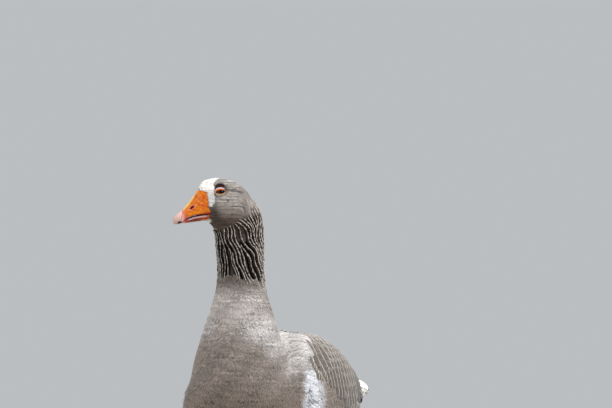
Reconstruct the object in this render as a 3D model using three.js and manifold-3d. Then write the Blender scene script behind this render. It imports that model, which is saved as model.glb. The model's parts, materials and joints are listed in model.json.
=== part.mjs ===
// A grey domestic goose, standing, life size, as closed solids: trunk, neck, head, bill, eyes,
// folded wings, tail, legs, webbed feet and claws.
// Millimetres, +Z up. The bird faces -Y and its left side is +X.
import * as THREE from "three";
import { mergeVertices } from "three/addons/utils/BufferGeometryUtils.js";
import Module from "manifold-3d";

const wasm = await Module();
wasm.setup();

// ---------------------------------------------------------------- driving sizes

const GAP = 0.4; // between solids that meet
const FAR = 500; // half the side of a cutting block

const TRUNK_CENTRE = new THREE.Vector3(0, 10, 268);
const TRUNK_PITCH = THREE.MathUtils.degToRad(6); // breast up, tail down
// Where the head, the two lengths of neck and the trunk are parted.
const HEAD_CUT = 557;
const NECK_CUT = 506;
const NECK_ROOT = { height: 425, y: -111, tilt: THREE.MathUtils.degToRad(-14) };
const HEAD_CENTRE = new THREE.Vector3(0, -123, 583); // on the neck's line, at the height of the gape
const HEAD_TURN = THREE.MathUtils.degToRad(62); // towards the bird's right

// Moves the finished bird so that its box stands centred on the origin.
const BOX_CENTRE = new THREE.Vector2(0, 61.5);

// Trunk stations, from breast to rump:
// [along, half width, back height, belly height, squareness of the back, over 2].
const TRUNK = [
  [-224, 4, 6, -8, 2],
  [-210, 44, 46, -46, 2],
  [-178, 76, 76, -80, 1.9],
  [-125, 96, 103, -106, 1.9],
  [-50, 105, 127, -121, 2.1],
  [30, 104, 127, -124, 2.5],
  [105, 94.5, 117, -112, 2.5],
  [165, 77.5, 102, -78, 2.45],
  [208, 55, 89, -30, 2.35],
  [240, 38, 80, 16, 2.2],
  [262, 14, 70, 46, 2.2],
];

const WIDEST_LEVEL = 0.43; // where the trunk is widest, as a share of its height

// Neck stations, from inside the breast to inside the skull:
// [height, line's Y, half depth, half width, turn in degrees].
const NECK = [
  [220, -80, 40, 34, 0],
  [255, -104, 82, 66, 0],
  [300, -113, 99, 76, 0],
  [340, -115, 94, 72, 0],
  [381, -113, 78, 63, 0],
  [413, -111, 61, 55, 4],
  [445, -111, 46, 45, 12],
  [463, -111, 40, 39, 18],
  [505, -113, 38, 38, 40],
  [540, -117, 40, 35, 52],
  [566, -122, 38, 28, 61],
  [588, -122, 28, 20, 62],
  [604, -122, 14, 10, 62],
];

// Skull with its plumage: [forward of the head's centre, half width, crown, jaw].
const HEAD = [
  [-37, 4, -7, -17],
  [-32, 16, 8, -28],
  [-22, 22, 24, -35],
  [-8, 25.5, 41, -38],
  [8, 25.5, 52, -37],
  [23, 24, 56.3, -33.5],
  [38, 21.5, 56.3, -22.5],
  [50, 18.5, 54, -10],
  [60, 15, 48.6, 2],
  [67, 7, 38, 22],
];
const CHEEK_LEVEL = 6; // height at which the head is widest

// Both halves of the bill as one horn: [forward, half width, ridge, keel].
const BILL = [
  [38, 17.5, 38, -13],
  [52, 16.5, 37.5, -11],
  [66.5, 14.2, 36, -12.6],
  [73, 12.9, 25.2, -13.4],
  [80, 11.9, 16.2, -14.4],
  [87, 11, 8, -15.2],
  [94, 9.2, 1.6, -16.4],
  [100, 6.2, -3.2, -17],
  [103.4, 2, -9, -14.5],
];
// Where the plumage ends on the bill, from the forehead down to the chin: [forward, height].
const FEATHER_LINE = [
  [67, 80],
  [67, 37],
  [52, 35.6],
  [50.2, 27],
  [48.6, 16],
  [48.2, 9],
  [44.8, 3.5],
  [44.6, -2],
  [47.5, -6.5],
  [51.5, -10],
  [53, -30],
];
// The line of the closed mouth, from the gape to under the nail: [forward, height].
const MOUTH_LINE = [
  [30, 1],
  [46, 0],
  [61, -1.7],
  [70, -3.3],
  [78, -5.8],
  [84.5, -9.2],
  [89, -13.5],
  [92, -24],
];
// Where the pale nail joins the bill: [forward, height].
const NAIL_ROOT = [
  [87.2, 20],
  [88.5, 5],
  [91, -8],
  [90, -30],
];
const HEAD_BLOCK = { front: 160, bottom: -60, halfWidth: 60 }; // clear of the whole head

const EYE = { forward: 29.8, side: 15.2, height: 33.6, radius: 8 };

// Folded wing over the trunk: [along, upper edge, lower edge (degrees from the back), thickness].
const WING = [
  [-112, 62, 90, 2],
  [-98, 44, 106, 11],
  [-60, 27, 116, 16],
  [-5, 15, 119, 16],
  [60, 9, 114, 14],
  [120, 7, 105, 11.5],
  [175, 7, 92, 10],
  [215, 9, 78, 9],
  [242, 15, 66, 9],
  [264, 28, 56, 4],
];
const WING_EDGE = 0.5; // its thickness along its edges
const WING_ROOT_DEPTH = 6; // how far its blank reaches into the trunk before it is cut flush
// Where the coverts give way to the long inner feathers, and these to the wing tip alone:
// the place along the trunk, and the slant of the line in radians.
const TERTIALS = { start: 52, slant: 0.5 };
const PRIMARIES = { start: 176, slant: 0.35 };

// Tail: [along, half width, top, underside].
const TAIL = [
  [205, 32, 66, 6],
  [240, 40, 72, 20],
  [275, 43, 79, 37],
  [304, 41, 83, 50],
  [320, 32, 80, 61],
];
const TAIL_ARCH = 7; // its middle stands above its edges

const THIGH_TOP = new THREE.Vector3(47, 12, 215);
const HOCK = new THREE.Vector3(47, 62, 96);
const TOE_JOINT = new THREE.Vector3(50, 34, 13);
const HOCK_RADIUS = 8.6;
const SHANK_RADIUS = 5.6;
const TOE_LENGTHS = { inner: 68, middle: 86, outer: 80 };
const TOE_SPREAD = THREE.MathUtils.degToRad(27);
const TOE_RADIUS = 4.8;
const WEB_TOP = 3.6;
const WEB_UNDERSIDE = 1;
const FEET_TURN = THREE.MathUtils.degToRad(8); // toes out
const CLAW_LENGTH = 11;

// ---------------------------------------------------------------- helpers

// Reads a table of rows [at, value, value...] as smooth curves through its rows.
// `warp` changes the spacing of the rows, so that a curve can leave an end squarely.
function smoothTable(rows, warp = (at) => at) {
  const knots = rows.map((row) => warp(row[0]));
  const slope = (i, k) => {
    const before = Math.max(i - 1, 0);
    const after = Math.min(i + 1, rows.length - 1);
    return (rows[after][k] - rows[before][k]) / (knots[after] - knots[before]);
  };
  return (at) => {
    const t = THREE.MathUtils.clamp(warp(at), knots[0], knots.at(-1));
    const i = Math.min(Math.max(knots.findIndex((knot) => knot >= t) - 1, 0), rows.length - 2);
    const span = knots[i + 1] - knots[i];
    const s = (t - knots[i]) / span;
    return rows[i].slice(1).map((value, n) => {
      const k = n + 1;
      const rise = rows[i + 1][k] - value;
      const left = slope(i, k) * span;
      const right = slope(i + 1, k) * span;
      return value + s * (left + s * (3 * rise - 2 * left - right + s * (left + right - 2 * rise)));
    });
  };
}

// Spacing that is close at both ends of a body, so that its ends are round.
function roundEnds(rows) {
  const first = rows[0][0];
  const length = rows.at(-1)[0] - first;
  return (at) => Math.acos(THREE.MathUtils.clamp(1 - (2 * (at - first)) / length, -1, 1));
}

function stations(rows, count, round = true) {
  const first = rows[0][0];
  const length = rows.at(-1)[0] - first;
  return Array.from({ length: count + 1 }, (_, i) => {
    const share = round ? (1 - Math.cos((Math.PI * i) / count)) / 2 : i / count;
    return first + length * share;
  });
}

// One egg-shaped section as [sideways, up] pairs, clockwise from its top.
function eggSection({ halfWidth, top, bottom, level, sides, upper = 2, lower = 2 }) {
  return Array.from({ length: sides }, (_, j) => {
    const turn = (2 * Math.PI * j) / sides;
    return eggPoint({ halfWidth, top, bottom, level, upper, lower }, turn);
  });
}

// The point of such a section at an angle from its top. Powers over 2 make it squarer.
function eggPoint({ halfWidth, top, bottom, level, upper = 2, lower = 2 }, turn) {
  const c = Math.cos(turn);
  const s = Math.sin(turn);
  const power = 2 / (c > 0 ? upper : lower);
  const height = c > 0 ? top - level : level - bottom;
  return [
    halfWidth * Math.sign(s) * Math.abs(s) ** power,
    level + height * Math.sign(c) * Math.abs(c) ** power,
  ];
}

// A closed body through rings of as many points each, with a fan over either end.
function loft(rings) {
  const sides = rings[0].length;
  const positions = rings.flat().flatMap((p) => [p.x, p.y, p.z]);
  const faces = [];
  for (let i = 0; i + 1 < rings.length; i++) {
    for (let j = 0; j < sides; j++) {
      const a = i * sides + j;
      const b = i * sides + ((j + 1) % sides);
      faces.push(a, b, b + sides, a, b + sides, a + sides);
    }
  }
  for (const [end, flip] of [[0, true], [rings.length - 1, false]]) {
    const middle = rings[end]
      .reduce((sum, p) => sum.add(p), new THREE.Vector3())
      .divideScalar(sides);
    const hub = positions.length / 3;
    positions.push(middle.x, middle.y, middle.z);
    for (let j = 0; j < sides; j++) {
      const a = end * sides + j;
      const b = end * sides + ((j + 1) % sides);
      faces.push(...(flip ? [hub, b, a] : [hub, a, b]));
    }
  }
  return new THREE.BufferGeometry()
    .setAttribute("position", new THREE.Float32BufferAttribute(positions, 3))
    .setIndex(faces);
}

// A three.js geometry as a manifold-3d solid, turned to face outwards.
function solidOf(geometry) {
  const bare = geometry.clone();
  bare.deleteAttribute("normal");
  bare.deleteAttribute("uv");
  const merged = mergeVertices(bare, 1e-4);
  const made = (triVerts) =>
    new wasm.Manifold(
      new wasm.Mesh({ numProp: 3, vertProperties: merged.attributes.position.array, triVerts }),
    );
  const faces = new Uint32Array(merged.index.array);
  const solid = made(faces);
  return solid.volume() > 0 ? solid : made(faces.reverse());
}

function geometryOf(solid) {
  const mesh = solid.getMesh();
  const positions = new Float32Array(mesh.numVert * 3);
  for (let i = 0; i < mesh.numVert; i++) {
    const from = i * mesh.numProp;
    positions.set(mesh.vertProperties.subarray(from, from + 3), i * 3);
  }
  const geometry = new THREE.BufferGeometry()
    .setAttribute("position", new THREE.BufferAttribute(positions, 3))
    .setIndex(new THREE.BufferAttribute(new Uint32Array(mesh.triVerts), 1));
  geometry.computeVertexNormals();
  return geometry;
}

const moved = (solid, matrix) => solid.transform(matrix.elements);

// The largest body of a solid, without the slivers that a cut may leave.
function mainBody(solid) {
  return solid.decompose().sort((a, b) => b.volume() - a.volume())[0];
}

// A block right across the head, from an outline of [forward, height] pairs.
function headBlock(outline) {
  const { halfWidth } = HEAD_BLOCK;
  const shape = new THREE.Shape(outline.map(([forward, height]) => new THREE.Vector2(forward, height)));
  const geometry = new THREE.ExtrudeGeometry(shape, { depth: 2 * halfWidth, bevelEnabled: false });
  // The outline's X becomes -Y (forward), its Y becomes Z, and the plate's depth runs along X.
  geometry.translate(0, 0, -halfWidth);
  geometry.applyMatrix4(new THREE.Matrix4().set(0, 0, 1, 0, -1, 0, 0, 0, 0, 1, 0, 0, 0, 0, 0, 1));
  return solidOf(geometry);
}

// Everything above a plane through a point, tilted about X.
function spaceAbove(height, y = 0, tilt = 0) {
  const block = new THREE.BoxGeometry(2 * FAR, 2 * FAR, 2 * FAR).translate(0, 0, FAR);
  block.rotateX(tilt);
  block.translate(0, y, height);
  return solidOf(block);
}

// Everything behind a slanted line over the folded wing.
function spaceBehind({ start, slant }, gap = 0) {
  const block = new THREE.BoxGeometry(2 * FAR, 2 * FAR, 2 * FAR).translate(0, FAR, 0);
  block.rotateX(slant);
  block.translate(0, start - gap, 0);
  return moved(solidOf(block), trunkFrame);
}

const mirrored = (solid) => solid.mirror([1, 0, 0]);

// ---------------------------------------------------------------- frames

const trunkFrame = new THREE.Matrix4()
  .makeRotationX(-TRUNK_PITCH)
  .setPosition(TRUNK_CENTRE);
const headFrame = new THREE.Matrix4().makeRotationZ(-HEAD_TURN).setPosition(HEAD_CENTRE);

// ---------------------------------------------------------------- flesh

const trunkAt = smoothTable(TRUNK, roundEnds(TRUNK));

// The trunk's section at a station, made larger by `grow`.
function trunkSection(along, grow = 0) {
  const [halfWidth, top, bottom, upper] = trunkAt(along);
  return {
    halfWidth: halfWidth + grow,
    top: top + grow,
    bottom: bottom - grow,
    level: bottom + WIDEST_LEVEL * (top - bottom),
    upper,
    lower: 2.1,
  };
}

function trunkSolid(grow = 0) {
  const rings = stations(TRUNK, 18).map((along) =>
    eggSection({ ...trunkSection(along, grow), sides: 24 }).map(
      ([x, z]) => new THREE.Vector3(x, along, z),
    ),
  );
  return moved(solidOf(loft(rings)), trunkFrame);
}

function neckSolid(grow = 0) {
  const neckAt = smoothTable(NECK);
  const sides = 22;
  const rings = stations(NECK, 15, false).map((height) => {
    const [y, halfDepth, halfWidth, turn] = neckAt(height);
    const twist = THREE.MathUtils.degToRad(-turn);
    return Array.from({ length: sides }, (_, j) => {
      const angle = (2 * Math.PI * j) / sides;
      const x = (halfWidth + grow) * Math.sin(angle);
      const forward = (halfDepth + grow) * Math.cos(angle);
      return new THREE.Vector3(x, -forward, 0)
        .applyAxisAngle(new THREE.Vector3(0, 0, 1), twist)
        .add(new THREE.Vector3(0, y, height));
    });
  });
  return solidOf(loft(rings));
}

// A body in the head's frame from a table of [forward, half width, top, bottom].
function headLoft(rows, count, sides, shape) {
  const at = smoothTable(rows, roundEnds(rows));
  const rings = stations(rows, count).map((forward) => {
    const [halfWidth, top, bottom] = at(forward);
    const section = { halfWidth, top, bottom, sides, ...shape(top, bottom, forward) };
    return eggSection(section).map(([x, z]) => new THREE.Vector3(x, -forward, z));
  });
  return solidOf(loft(rings));
}

function skullSolid() {
  return headLoft(HEAD, 16, 22, (top, bottom) => ({
    level: THREE.MathUtils.clamp(CHEEK_LEVEL, bottom + 3, top - 3),
    upper: 2.1,
    lower: 2.1,
  }));
}

const mouthAt = smoothTable(MOUTH_LINE);

// The bill's section is a steep roof over the mouth's line and a shallow bowl under it.
function billSolid() {
  return headLoft(BILL, 14, 16, (top, bottom, forward) => ({
    level: THREE.MathUtils.clamp(mouthAt(forward)[0], bottom + 2, top - 2),
    upper: 1.75,
    lower: 2,
  }));
}

function eyeball(side, grow = 0) {
  const ball = new THREE.SphereGeometry(EYE.radius + grow, 12, 8);
  ball.rotateX(Math.PI / 2);
  ball.rotateY(Math.PI / 2);
  ball.translate(side * EYE.side, -EYE.forward, EYE.height);
  return solidOf(ball);
}

// ---------------------------------------------------------------- head and bill

// Everything in front of a line across the profile, which runs from its top down.
function aheadOf(line, gap = 0) {
  const edge = line.map(([forward, height]) => [forward - gap, height]);
  return headBlock([...edge, [HEAD_BLOCK.front, line.at(-1)[1]], [HEAD_BLOCK.front, line[0][1]]]);
}

// Everything under the mouth's line, which runs from the gape forwards.
function underMouth(gap = 0) {
  const edge = MOUTH_LINE.map(([forward, height]) => [forward, height + gap]);
  return headBlock([...edge, [MOUTH_LINE[0][0], HEAD_BLOCK.bottom]]);
}

const headAndBill = skullSolid().add(billSolid());
const horn = headAndBill.intersect(aheadOf(FEATHER_LINE));
const upperHorn = horn.subtract(underMouth(GAP));
const billUpper = mainBody(upperHorn.subtract(aheadOf(NAIL_ROOT, GAP)));
const billNail = mainBody(upperHorn.intersect(aheadOf(NAIL_ROOT)));
const billLower = mainBody(horn.intersect(underMouth()).subtract(aheadOf(NAIL_ROOT, GAP)));
const billAndEyeSpace = aheadOf(FEATHER_LINE, GAP).add(eyeball(1, GAP)).add(eyeball(-1, GAP));

// ---------------------------------------------------------------- trunk, neck and head as one body

const flesh = trunkSolid()
  .add(neckSolid())
  .add(moved(headAndBill, headFrame))
  .subtract(moved(billAndEyeSpace, headFrame));

const aboveRoot = (gap) => spaceAbove(NECK_ROOT.height + gap, NECK_ROOT.y, NECK_ROOT.tilt);
const head = mainBody(flesh.intersect(spaceAbove(HEAD_CUT)));
const underHead = flesh.subtract(spaceAbove(HEAD_CUT - GAP));
const neckUpper = mainBody(underHead.intersect(spaceAbove(NECK_CUT)));
const neckLower = mainBody(underHead.subtract(spaceAbove(NECK_CUT - GAP)).intersect(aboveRoot(0)));
const trunk = mainBody(flesh.subtract(aboveRoot(-GAP)));

// ---------------------------------------------------------------- wings and tail

// A shell over the trunk between two angles, reaching a little into it so that it can be cut flush.
function wingShell() {
  const at = smoothTable(WING);
  const across = 7;
  const rings = stations(WING, 16, false).map((along) => {
    const [upperEdge, lowerEdge, thickness] = at(along);
    const ring = [];
    for (const side of [1, -1]) {
      for (let j = 0; j <= across; j++) {
        const share = side > 0 ? j / across : 1 - j / across;
        const turn = THREE.MathUtils.degToRad(upperEdge + (lowerEdge - upperEdge) * share);
        // Rounded at both edges, and fullest above the middle.
        const fullness = Math.sqrt(Math.max(1 - Math.abs(2 * share - 1) ** 3, 0));
        const grow = side > 0 ? thickness * fullness + WING_EDGE : -WING_ROOT_DEPTH;
        const [x, z] = eggPoint(trunkSection(along, grow), turn);
        ring.push(new THREE.Vector3(x, along, z));
      }
    }
    return ring;
  });
  return solidOf(loft(rings));
}

// The neck is twisted and the facets aren't symmetric, so what is made for the left side and
// mirrored is cut clear of the body and of the body's mirror image.
const bodyWithGap = trunkSolid(GAP).add(neckSolid(GAP));
const clearOfBody = (solid) => solid.subtract(bodyWithGap).subtract(mirrored(bodyWithGap));

function tailSolid(grow = 0) {
  const at = smoothTable(TAIL);
  const rings = stations(TAIL, 6, false).map((along) => {
    const [halfWidth, top, bottom] = at(along);
    const section = { halfWidth: halfWidth + grow, top: top + grow, bottom: bottom - grow };
    const level = (top + bottom) / 2;
    return eggSection({ ...section, level, sides: 14, upper: 2.6, lower: 2.2 }).map(
      ([x, z]) => new THREE.Vector3(x, along, z - TAIL_ARCH * (x / halfWidth) ** 2),
    );
  });
  return moved(solidOf(loft(rings)), trunkFrame);
}

// The wing tips lie on the root of the tail.
const tail = mainBody(clearOfBody(tailSolid()));
const tailWithGap = tailSolid(GAP).add(mirrored(tailSolid(GAP)));
const wing = clearOfBody(moved(wingShell(), trunkFrame)).subtract(tailWithGap);
const wingCoverts = mainBody(wing.subtract(spaceBehind(TERTIALS, GAP)));
const behindCoverts = wing.intersect(spaceBehind(TERTIALS));
const wingTertials = mainBody(behindCoverts.subtract(spaceBehind(PRIMARIES, GAP)));
const wingPrimaries = mainBody(wing.intersect(spaceBehind(PRIMARIES)));

// ---------------------------------------------------------------- legs

// A limb with round sections: [share of the way, radius across, radius fore and aft].
function limb(from, to, rows, sides = 14, count = 8) {
  const at = smoothTable(rows);
  const line = new THREE.Vector3().subVectors(to, from);
  const rings = stations(rows, count, false).map((share) => {
    const [across, deep] = at(share);
    const middle = new THREE.Vector3().copy(from).addScaledVector(line, share);
    return Array.from({ length: sides }, (_, j) => {
      const turn = (2 * Math.PI * j) / sides;
      return new THREE.Vector3(across * Math.sin(turn), deep * Math.cos(turn), 0).add(middle);
    });
  });
  return solidOf(loft(rings));
}

const thighWhole = (grow) =>
  limb(THIGH_TOP, HOCK, [
    [0, 24 + grow, 40 + grow],
    [0.3, 31 + grow, 47 + grow],
    [0.55, 26 + grow, 34 + grow],
    [0.8, 14 + grow, 17 + grow],
    [0.94, 9.5 + grow, 10.5 + grow],
  ], 14, 7);

const shankWhole = limb(HOCK, TOE_JOINT, [
  [-0.1, HOCK_RADIUS * 0.8, HOCK_RADIUS * 0.8],
  [0.04, HOCK_RADIUS, HOCK_RADIUS * 1.1],
  [0.22, SHANK_RADIUS, SHANK_RADIUS * 1.25],
  [0.7, SHANK_RADIUS, SHANK_RADIUS * 1.15],
  [1.12, SHANK_RADIUS * 1.3, SHANK_RADIUS * 1.35],
], 8, 8);

// The foot's own frame: origin on the floor under the toe joint, toes forward along -Y.
const footFrame = new THREE.Matrix4()
  .makeRotationZ(FEET_TURN)
  .setPosition(TOE_JOINT.x, TOE_JOINT.y, 0);

const toes = [
  { name: "inner", length: TOE_LENGTHS.inner, turn: -TOE_SPREAD },
  { name: "middle", length: TOE_LENGTHS.middle, turn: 0 },
  { name: "outer", length: TOE_LENGTHS.outer, turn: TOE_SPREAD },
];
const HIND_TOE = { name: "hind", length: 16, turn: Math.PI * 0.93, radius: 3.1 };

const toeDirection = (turn) => new THREE.Vector3(Math.sin(turn), -Math.cos(turn), 0);

// A toe lies along the floor with a knuckle at each joint.
function toeSolid({ length, turn, radius = TOE_RADIUS }, height = radius * 0.72) {
  const steps = 6;
  const sides = 8;
  const along = toeDirection(turn);
  const across = new THREE.Vector3(-along.y, along.x, 0);
  const rings = Array.from({ length: steps + 1 }, (_, i) => {
    const share = i / steps;
    const knuckle = 1 + 0.13 * Math.cos(share * 3 * 2 * Math.PI);
    const size = radius * (1.15 - 0.5 * share) * knuckle;
    return Array.from({ length: sides }, (_, j) => {
      const angle = (2 * Math.PI * j) / sides;
      return new THREE.Vector3(0, 0, height * (1 - 0.3 * share))
        .addScaledVector(along, length * share)
        .addScaledVector(across, size * Math.sin(angle))
        .add(new THREE.Vector3(0, 0, size * Math.cos(angle)));
    });
  });
  return solidOf(loft(rings));
}

// The web spans the three toes, hollowed along its front edge between each two.
function webSolid() {
  const outline = new THREE.Shape();
  outline.moveTo(0, 6);
  toes.forEach((toe, i) => {
    const tip = toeDirection(toe.turn).multiplyScalar(toe.length * 0.93);
    if (i === 0) {
      outline.lineTo(tip.x, tip.y);
      return;
    }
    const before = toes[i - 1];
    const hollow = toeDirection((toe.turn + before.turn) / 2).multiplyScalar(
      (toe.length + before.length) * 0.36,
    );
    outline.quadraticCurveTo(hollow.x, hollow.y, tip.x, tip.y);
  });
  outline.lineTo(0, 6);
  const plate = new THREE.ExtrudeGeometry(outline, {
    depth: WEB_TOP - WEB_UNDERSIDE,
    bevelEnabled: false,
    curveSegments: 5,
  });
  return solidOf(plate.translate(0, 0, WEB_UNDERSIDE));
}

// The pad under the toe joint, where shank and toes meet.
function jointPad() {
  const pad = new THREE.SphereGeometry(1, 10, 6);
  pad.rotateX(Math.PI / 2);
  pad.scale(8, 9.5, 8.5).translate(0, 1, 7);
  return solidOf(pad);
}

const aboveFloor = spaceAbove(0);
const shankTop = 11; // the foot's solid ends at this height, and the shank's begins

function footSolid() {
  let foot = webSolid().add(jointPad()).add(toeSolid(HIND_TOE, 3.4));
  for (const toe of toes) foot = foot.add(toeSolid(toe));
  return mainBody(foot.intersect(aboveFloor).subtract(spaceAbove(shankTop)));
}

// A claw curves down from the end of its toe to just over the floor.
function clawSolid({ length, turn, radius = TOE_RADIUS }) {
  const steps = 4;
  const sides = 6;
  const along = toeDirection(turn);
  const across = new THREE.Vector3(-along.y, along.x, 0);
  const root = radius * 0.66;
  const reach = (CLAW_LENGTH * radius) / TOE_RADIUS;
  const rings = Array.from({ length: steps + 1 }, (_, i) => {
    const share = i / steps;
    const size = root * (1 - 0.86 * share);
    return Array.from({ length: sides }, (_, j) => {
      const angle = (2 * Math.PI * j) / sides;
      const height = GAP + size + (radius * 0.5 - root + 0.6) * (1 - share ** 2);
      return new THREE.Vector3(0, 0, height)
        .addScaledVector(along, length + GAP + reach * share)
        .addScaledVector(across, size * Math.sin(angle))
        .add(new THREE.Vector3(0, 0, size * Math.cos(angle)));
    });
  });
  return solidOf(loft(rings)).intersect(spaceAbove(0.1));
}

const thigh = mainBody(clearOfBody(thighWhole(0)));
const foot = footSolid();
const shank = mainBody(shankWhole.intersect(spaceAbove(shankTop + GAP)).subtract(thighWhole(GAP)));

// ---------------------------------------------------------------- materials

const finish = (color, roughness) => new THREE.MeshStandardMaterial({ color, roughness, metalness: 0 });
const plumage = finish("#a39c95", 0.85);
const furrowed = finish("#7d736a", 0.9);
const wingPlumage = finish("#857a72", 0.8);
const flightPlumage = finish("#57504b", 0.75);
const tailPlumage = finish("#c9c4bd", 0.8);
const horny = finish("#e07a1c", 0.45);
const nailPale = finish("#e3b5a5", 0.4);
const eyeDark = finish("#1c1512", 0.08);
const legSkin = finish("#d9763a", 0.6);
const clawDark = finish("#3a322c", 0.4);

function node(name, solid, material) {
  const mesh = new THREE.Mesh(geometryOf(solid), material);
  mesh.name = name;
  return mesh;
}

// ---------------------------------------------------------------- assembly

const goose = new THREE.Group();
goose.position.set(-BOX_CENTRE.x, -BOX_CENTRE.y, 0);

const faceParts = new THREE.Group();
faceParts.applyMatrix4(headFrame);
faceParts.add(
  node("bill_upper", billUpper, horny),
  node("bill_lower", billLower, horny),
  node("bill_nail", billNail, nailPale),
  node("eye_left", eyeball(1), eyeDark),
  node("eye_right", eyeball(-1), eyeDark),
);
goose.add(
  faceParts,
  node("head", head, plumage),
  node("neck_upper", neckUpper, furrowed),
  node("neck_lower", neckLower, furrowed),
  node("trunk", trunk, plumage),
  node("tail", tail, tailPlumage),
);

for (const [side, own] of [["left", (solid) => solid], ["right", mirrored]]) {
  goose.add(
    node(`wing_coverts_${side}`, own(wingCoverts), wingPlumage),
    node(`wing_tertials_${side}`, own(wingTertials), wingPlumage),
    node(`wing_primaries_${side}`, own(wingPrimaries), flightPlumage),
    node(`thigh_${side}`, own(thigh), plumage),
    node(`shank_${side}`, own(shank), legSkin),
    node(`foot_${side}`, own(moved(foot, footFrame)), legSkin),
  );
  for (const toe of [...toes, HIND_TOE]) {
    goose.add(node(`claw_${toe.name}_${side}`, own(moved(clawSolid(toe), footFrame)), clawDark));
  }
}

export default goose;
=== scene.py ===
# %% [markdown]
# # A grey farm goose, dressed in feathers
# The model that arrives here is a plain goose in closed solids, at life size: trunk, neck, head, bill,
# folded wings, tail, legs and webbed feet. It stays where it is. What this lesson adds is what makes
# a goose a goose: one soft skin, some twenty thousand feathers, a horny bill, wet eyes and scaly feet.
# The first cell loads the plain model, and can give the box of any of its solids.

# %% Load the plain goose
import json
import math

import bmesh
import bpy
import numpy as np
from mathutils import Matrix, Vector
from mathutils.bvhtree import BVHTree
from mathutils.kdtree import KDTree

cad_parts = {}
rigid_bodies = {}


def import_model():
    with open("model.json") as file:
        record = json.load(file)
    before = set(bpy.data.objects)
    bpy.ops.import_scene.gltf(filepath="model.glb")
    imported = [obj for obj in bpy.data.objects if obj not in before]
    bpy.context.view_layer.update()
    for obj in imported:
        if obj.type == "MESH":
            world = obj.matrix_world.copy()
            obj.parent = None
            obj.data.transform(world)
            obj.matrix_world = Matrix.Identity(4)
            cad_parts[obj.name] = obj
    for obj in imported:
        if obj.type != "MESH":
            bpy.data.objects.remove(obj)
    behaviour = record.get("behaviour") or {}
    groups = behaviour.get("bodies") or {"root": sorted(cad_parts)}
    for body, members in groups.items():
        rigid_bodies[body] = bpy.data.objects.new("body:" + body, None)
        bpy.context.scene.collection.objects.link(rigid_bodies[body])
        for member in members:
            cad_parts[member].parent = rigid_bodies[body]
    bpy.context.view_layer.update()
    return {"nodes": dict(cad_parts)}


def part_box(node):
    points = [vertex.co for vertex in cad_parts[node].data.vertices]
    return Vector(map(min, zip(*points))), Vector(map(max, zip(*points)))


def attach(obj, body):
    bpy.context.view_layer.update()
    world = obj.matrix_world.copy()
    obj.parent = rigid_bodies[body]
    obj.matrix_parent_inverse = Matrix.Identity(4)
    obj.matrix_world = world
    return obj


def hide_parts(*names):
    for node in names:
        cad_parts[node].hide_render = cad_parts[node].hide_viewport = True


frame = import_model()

MM = 0.001
print("plain goose:", len(frame["nodes"]), "solids")

# %% [markdown]
# ## The camera
# Seen from near by, a bird's bill and breast bulge towards the eye. From far off, and from the bird's
# own height, they keep their shape. So the camera stands level with the goose's head, a long way off,
# and looks past the bird's left breast. Its lens follows from how many metres the picture is wide.

# %% Place the camera
VIEW_TURN = math.radians(23)  # from straight ahead of the bird, towards its left
PICTURE = (612, 408)
METRES_PER_PIXEL = 1.6 * MM  # at the bird
CAMERA_DISTANCE = 25.0
AIM = (36.0 * MM, 598.4 * MM)  # across the picture from the origin, and above the floor

ACROSS = np.array([math.cos(VIEW_TURN), math.sin(VIEW_TURN), 0.0])
TOWARDS_CAMERA = np.array([math.sin(VIEW_TURN), -math.cos(VIEW_TURN), 0.0])
UP = np.array([0.0, 0.0, 1.0])


def new_object(name, data):
    """A new object of the scene."""
    obj = bpy.data.objects.new(name, data)
    bpy.context.scene.collection.objects.link(obj)
    return obj


lens_view = bpy.data.cameras.new("long_lens")
lens_view.sensor_width = 36.0
lens_view.lens = lens_view.sensor_width * CAMERA_DISTANCE / (PICTURE[0] * METRES_PER_PIXEL)
lens_view.clip_end = 200.0
camera = new_object("long_lens", lens_view)
camera.location = AIM[0] * ACROSS + AIM[1] * UP + CAMERA_DISTANCE * TOWARDS_CAMERA
camera.rotation_euler = (math.radians(90), 0.0, VIEW_TURN)
bpy.context.scene.camera = camera
print(f"lens {lens_view.lens:.0f} mm at {CAMERA_DISTANCE} m")

# %% [markdown]
# ## Light and floor
# Plumage shows best under a high, broad light from one side: it grazes the neck and the edge of every
# feather. A light behind the bird draws its rim, and a weak one from the other side and a pale sky fill
# the rest.

# %% A pale floor, a pale sky and three soft lights
def finish_of(name, roughness, base=(0.8, 0.8, 0.8), **sockets):
    """A new material and its Principled shader, with the sockets set."""
    material = bpy.data.materials.new(name)
    material.use_nodes = True
    shader = material.node_tree.nodes["Principled BSDF"]
    shader.inputs["Base Color"].default_value = (*base, 1.0)
    shader.inputs["Roughness"].default_value = roughness
    for socket, value in sockets.items():
        shader.inputs[socket.replace("_", " ")].default_value = value
    return material, shader


bpy.ops.mesh.primitive_plane_add(size=7.0, location=(0.0, 0.0, 0.0))
floor = bpy.context.object
floor.name = "studio_floor"
floor.data.materials.append(finish_of("pale_floor", 0.9, (0.62, 0.61, 0.59))[0])

sky = bpy.data.worlds.new("pale_sky")
sky.use_nodes = True
sky.node_tree.nodes["Background"].inputs["Color"].default_value = (0.80, 0.83, 0.86, 1.0)
sky.node_tree.nodes["Background"].inputs["Strength"].default_value = 0.62
bpy.context.scene.world = sky

LIT_PLACE = Vector((0.0, 0.0, 0.4))  # at the goose's shoulders


def soft_light(name, place, size, watts, colour):
    """A square light at [across, towards the camera, up] that looks at the goose's shoulders."""
    lamp = bpy.data.lights.new(name, "AREA")
    lamp.size = size
    lamp.energy = watts
    lamp.color = colour
    obj = new_object(name, lamp)
    obj.location = place[0] * ACROSS + place[1] * TOWARDS_CAMERA + place[2] * UP
    obj.rotation_euler = (LIT_PLACE - obj.location).to_track_quat("-Z", "Y").to_euler()


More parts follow.
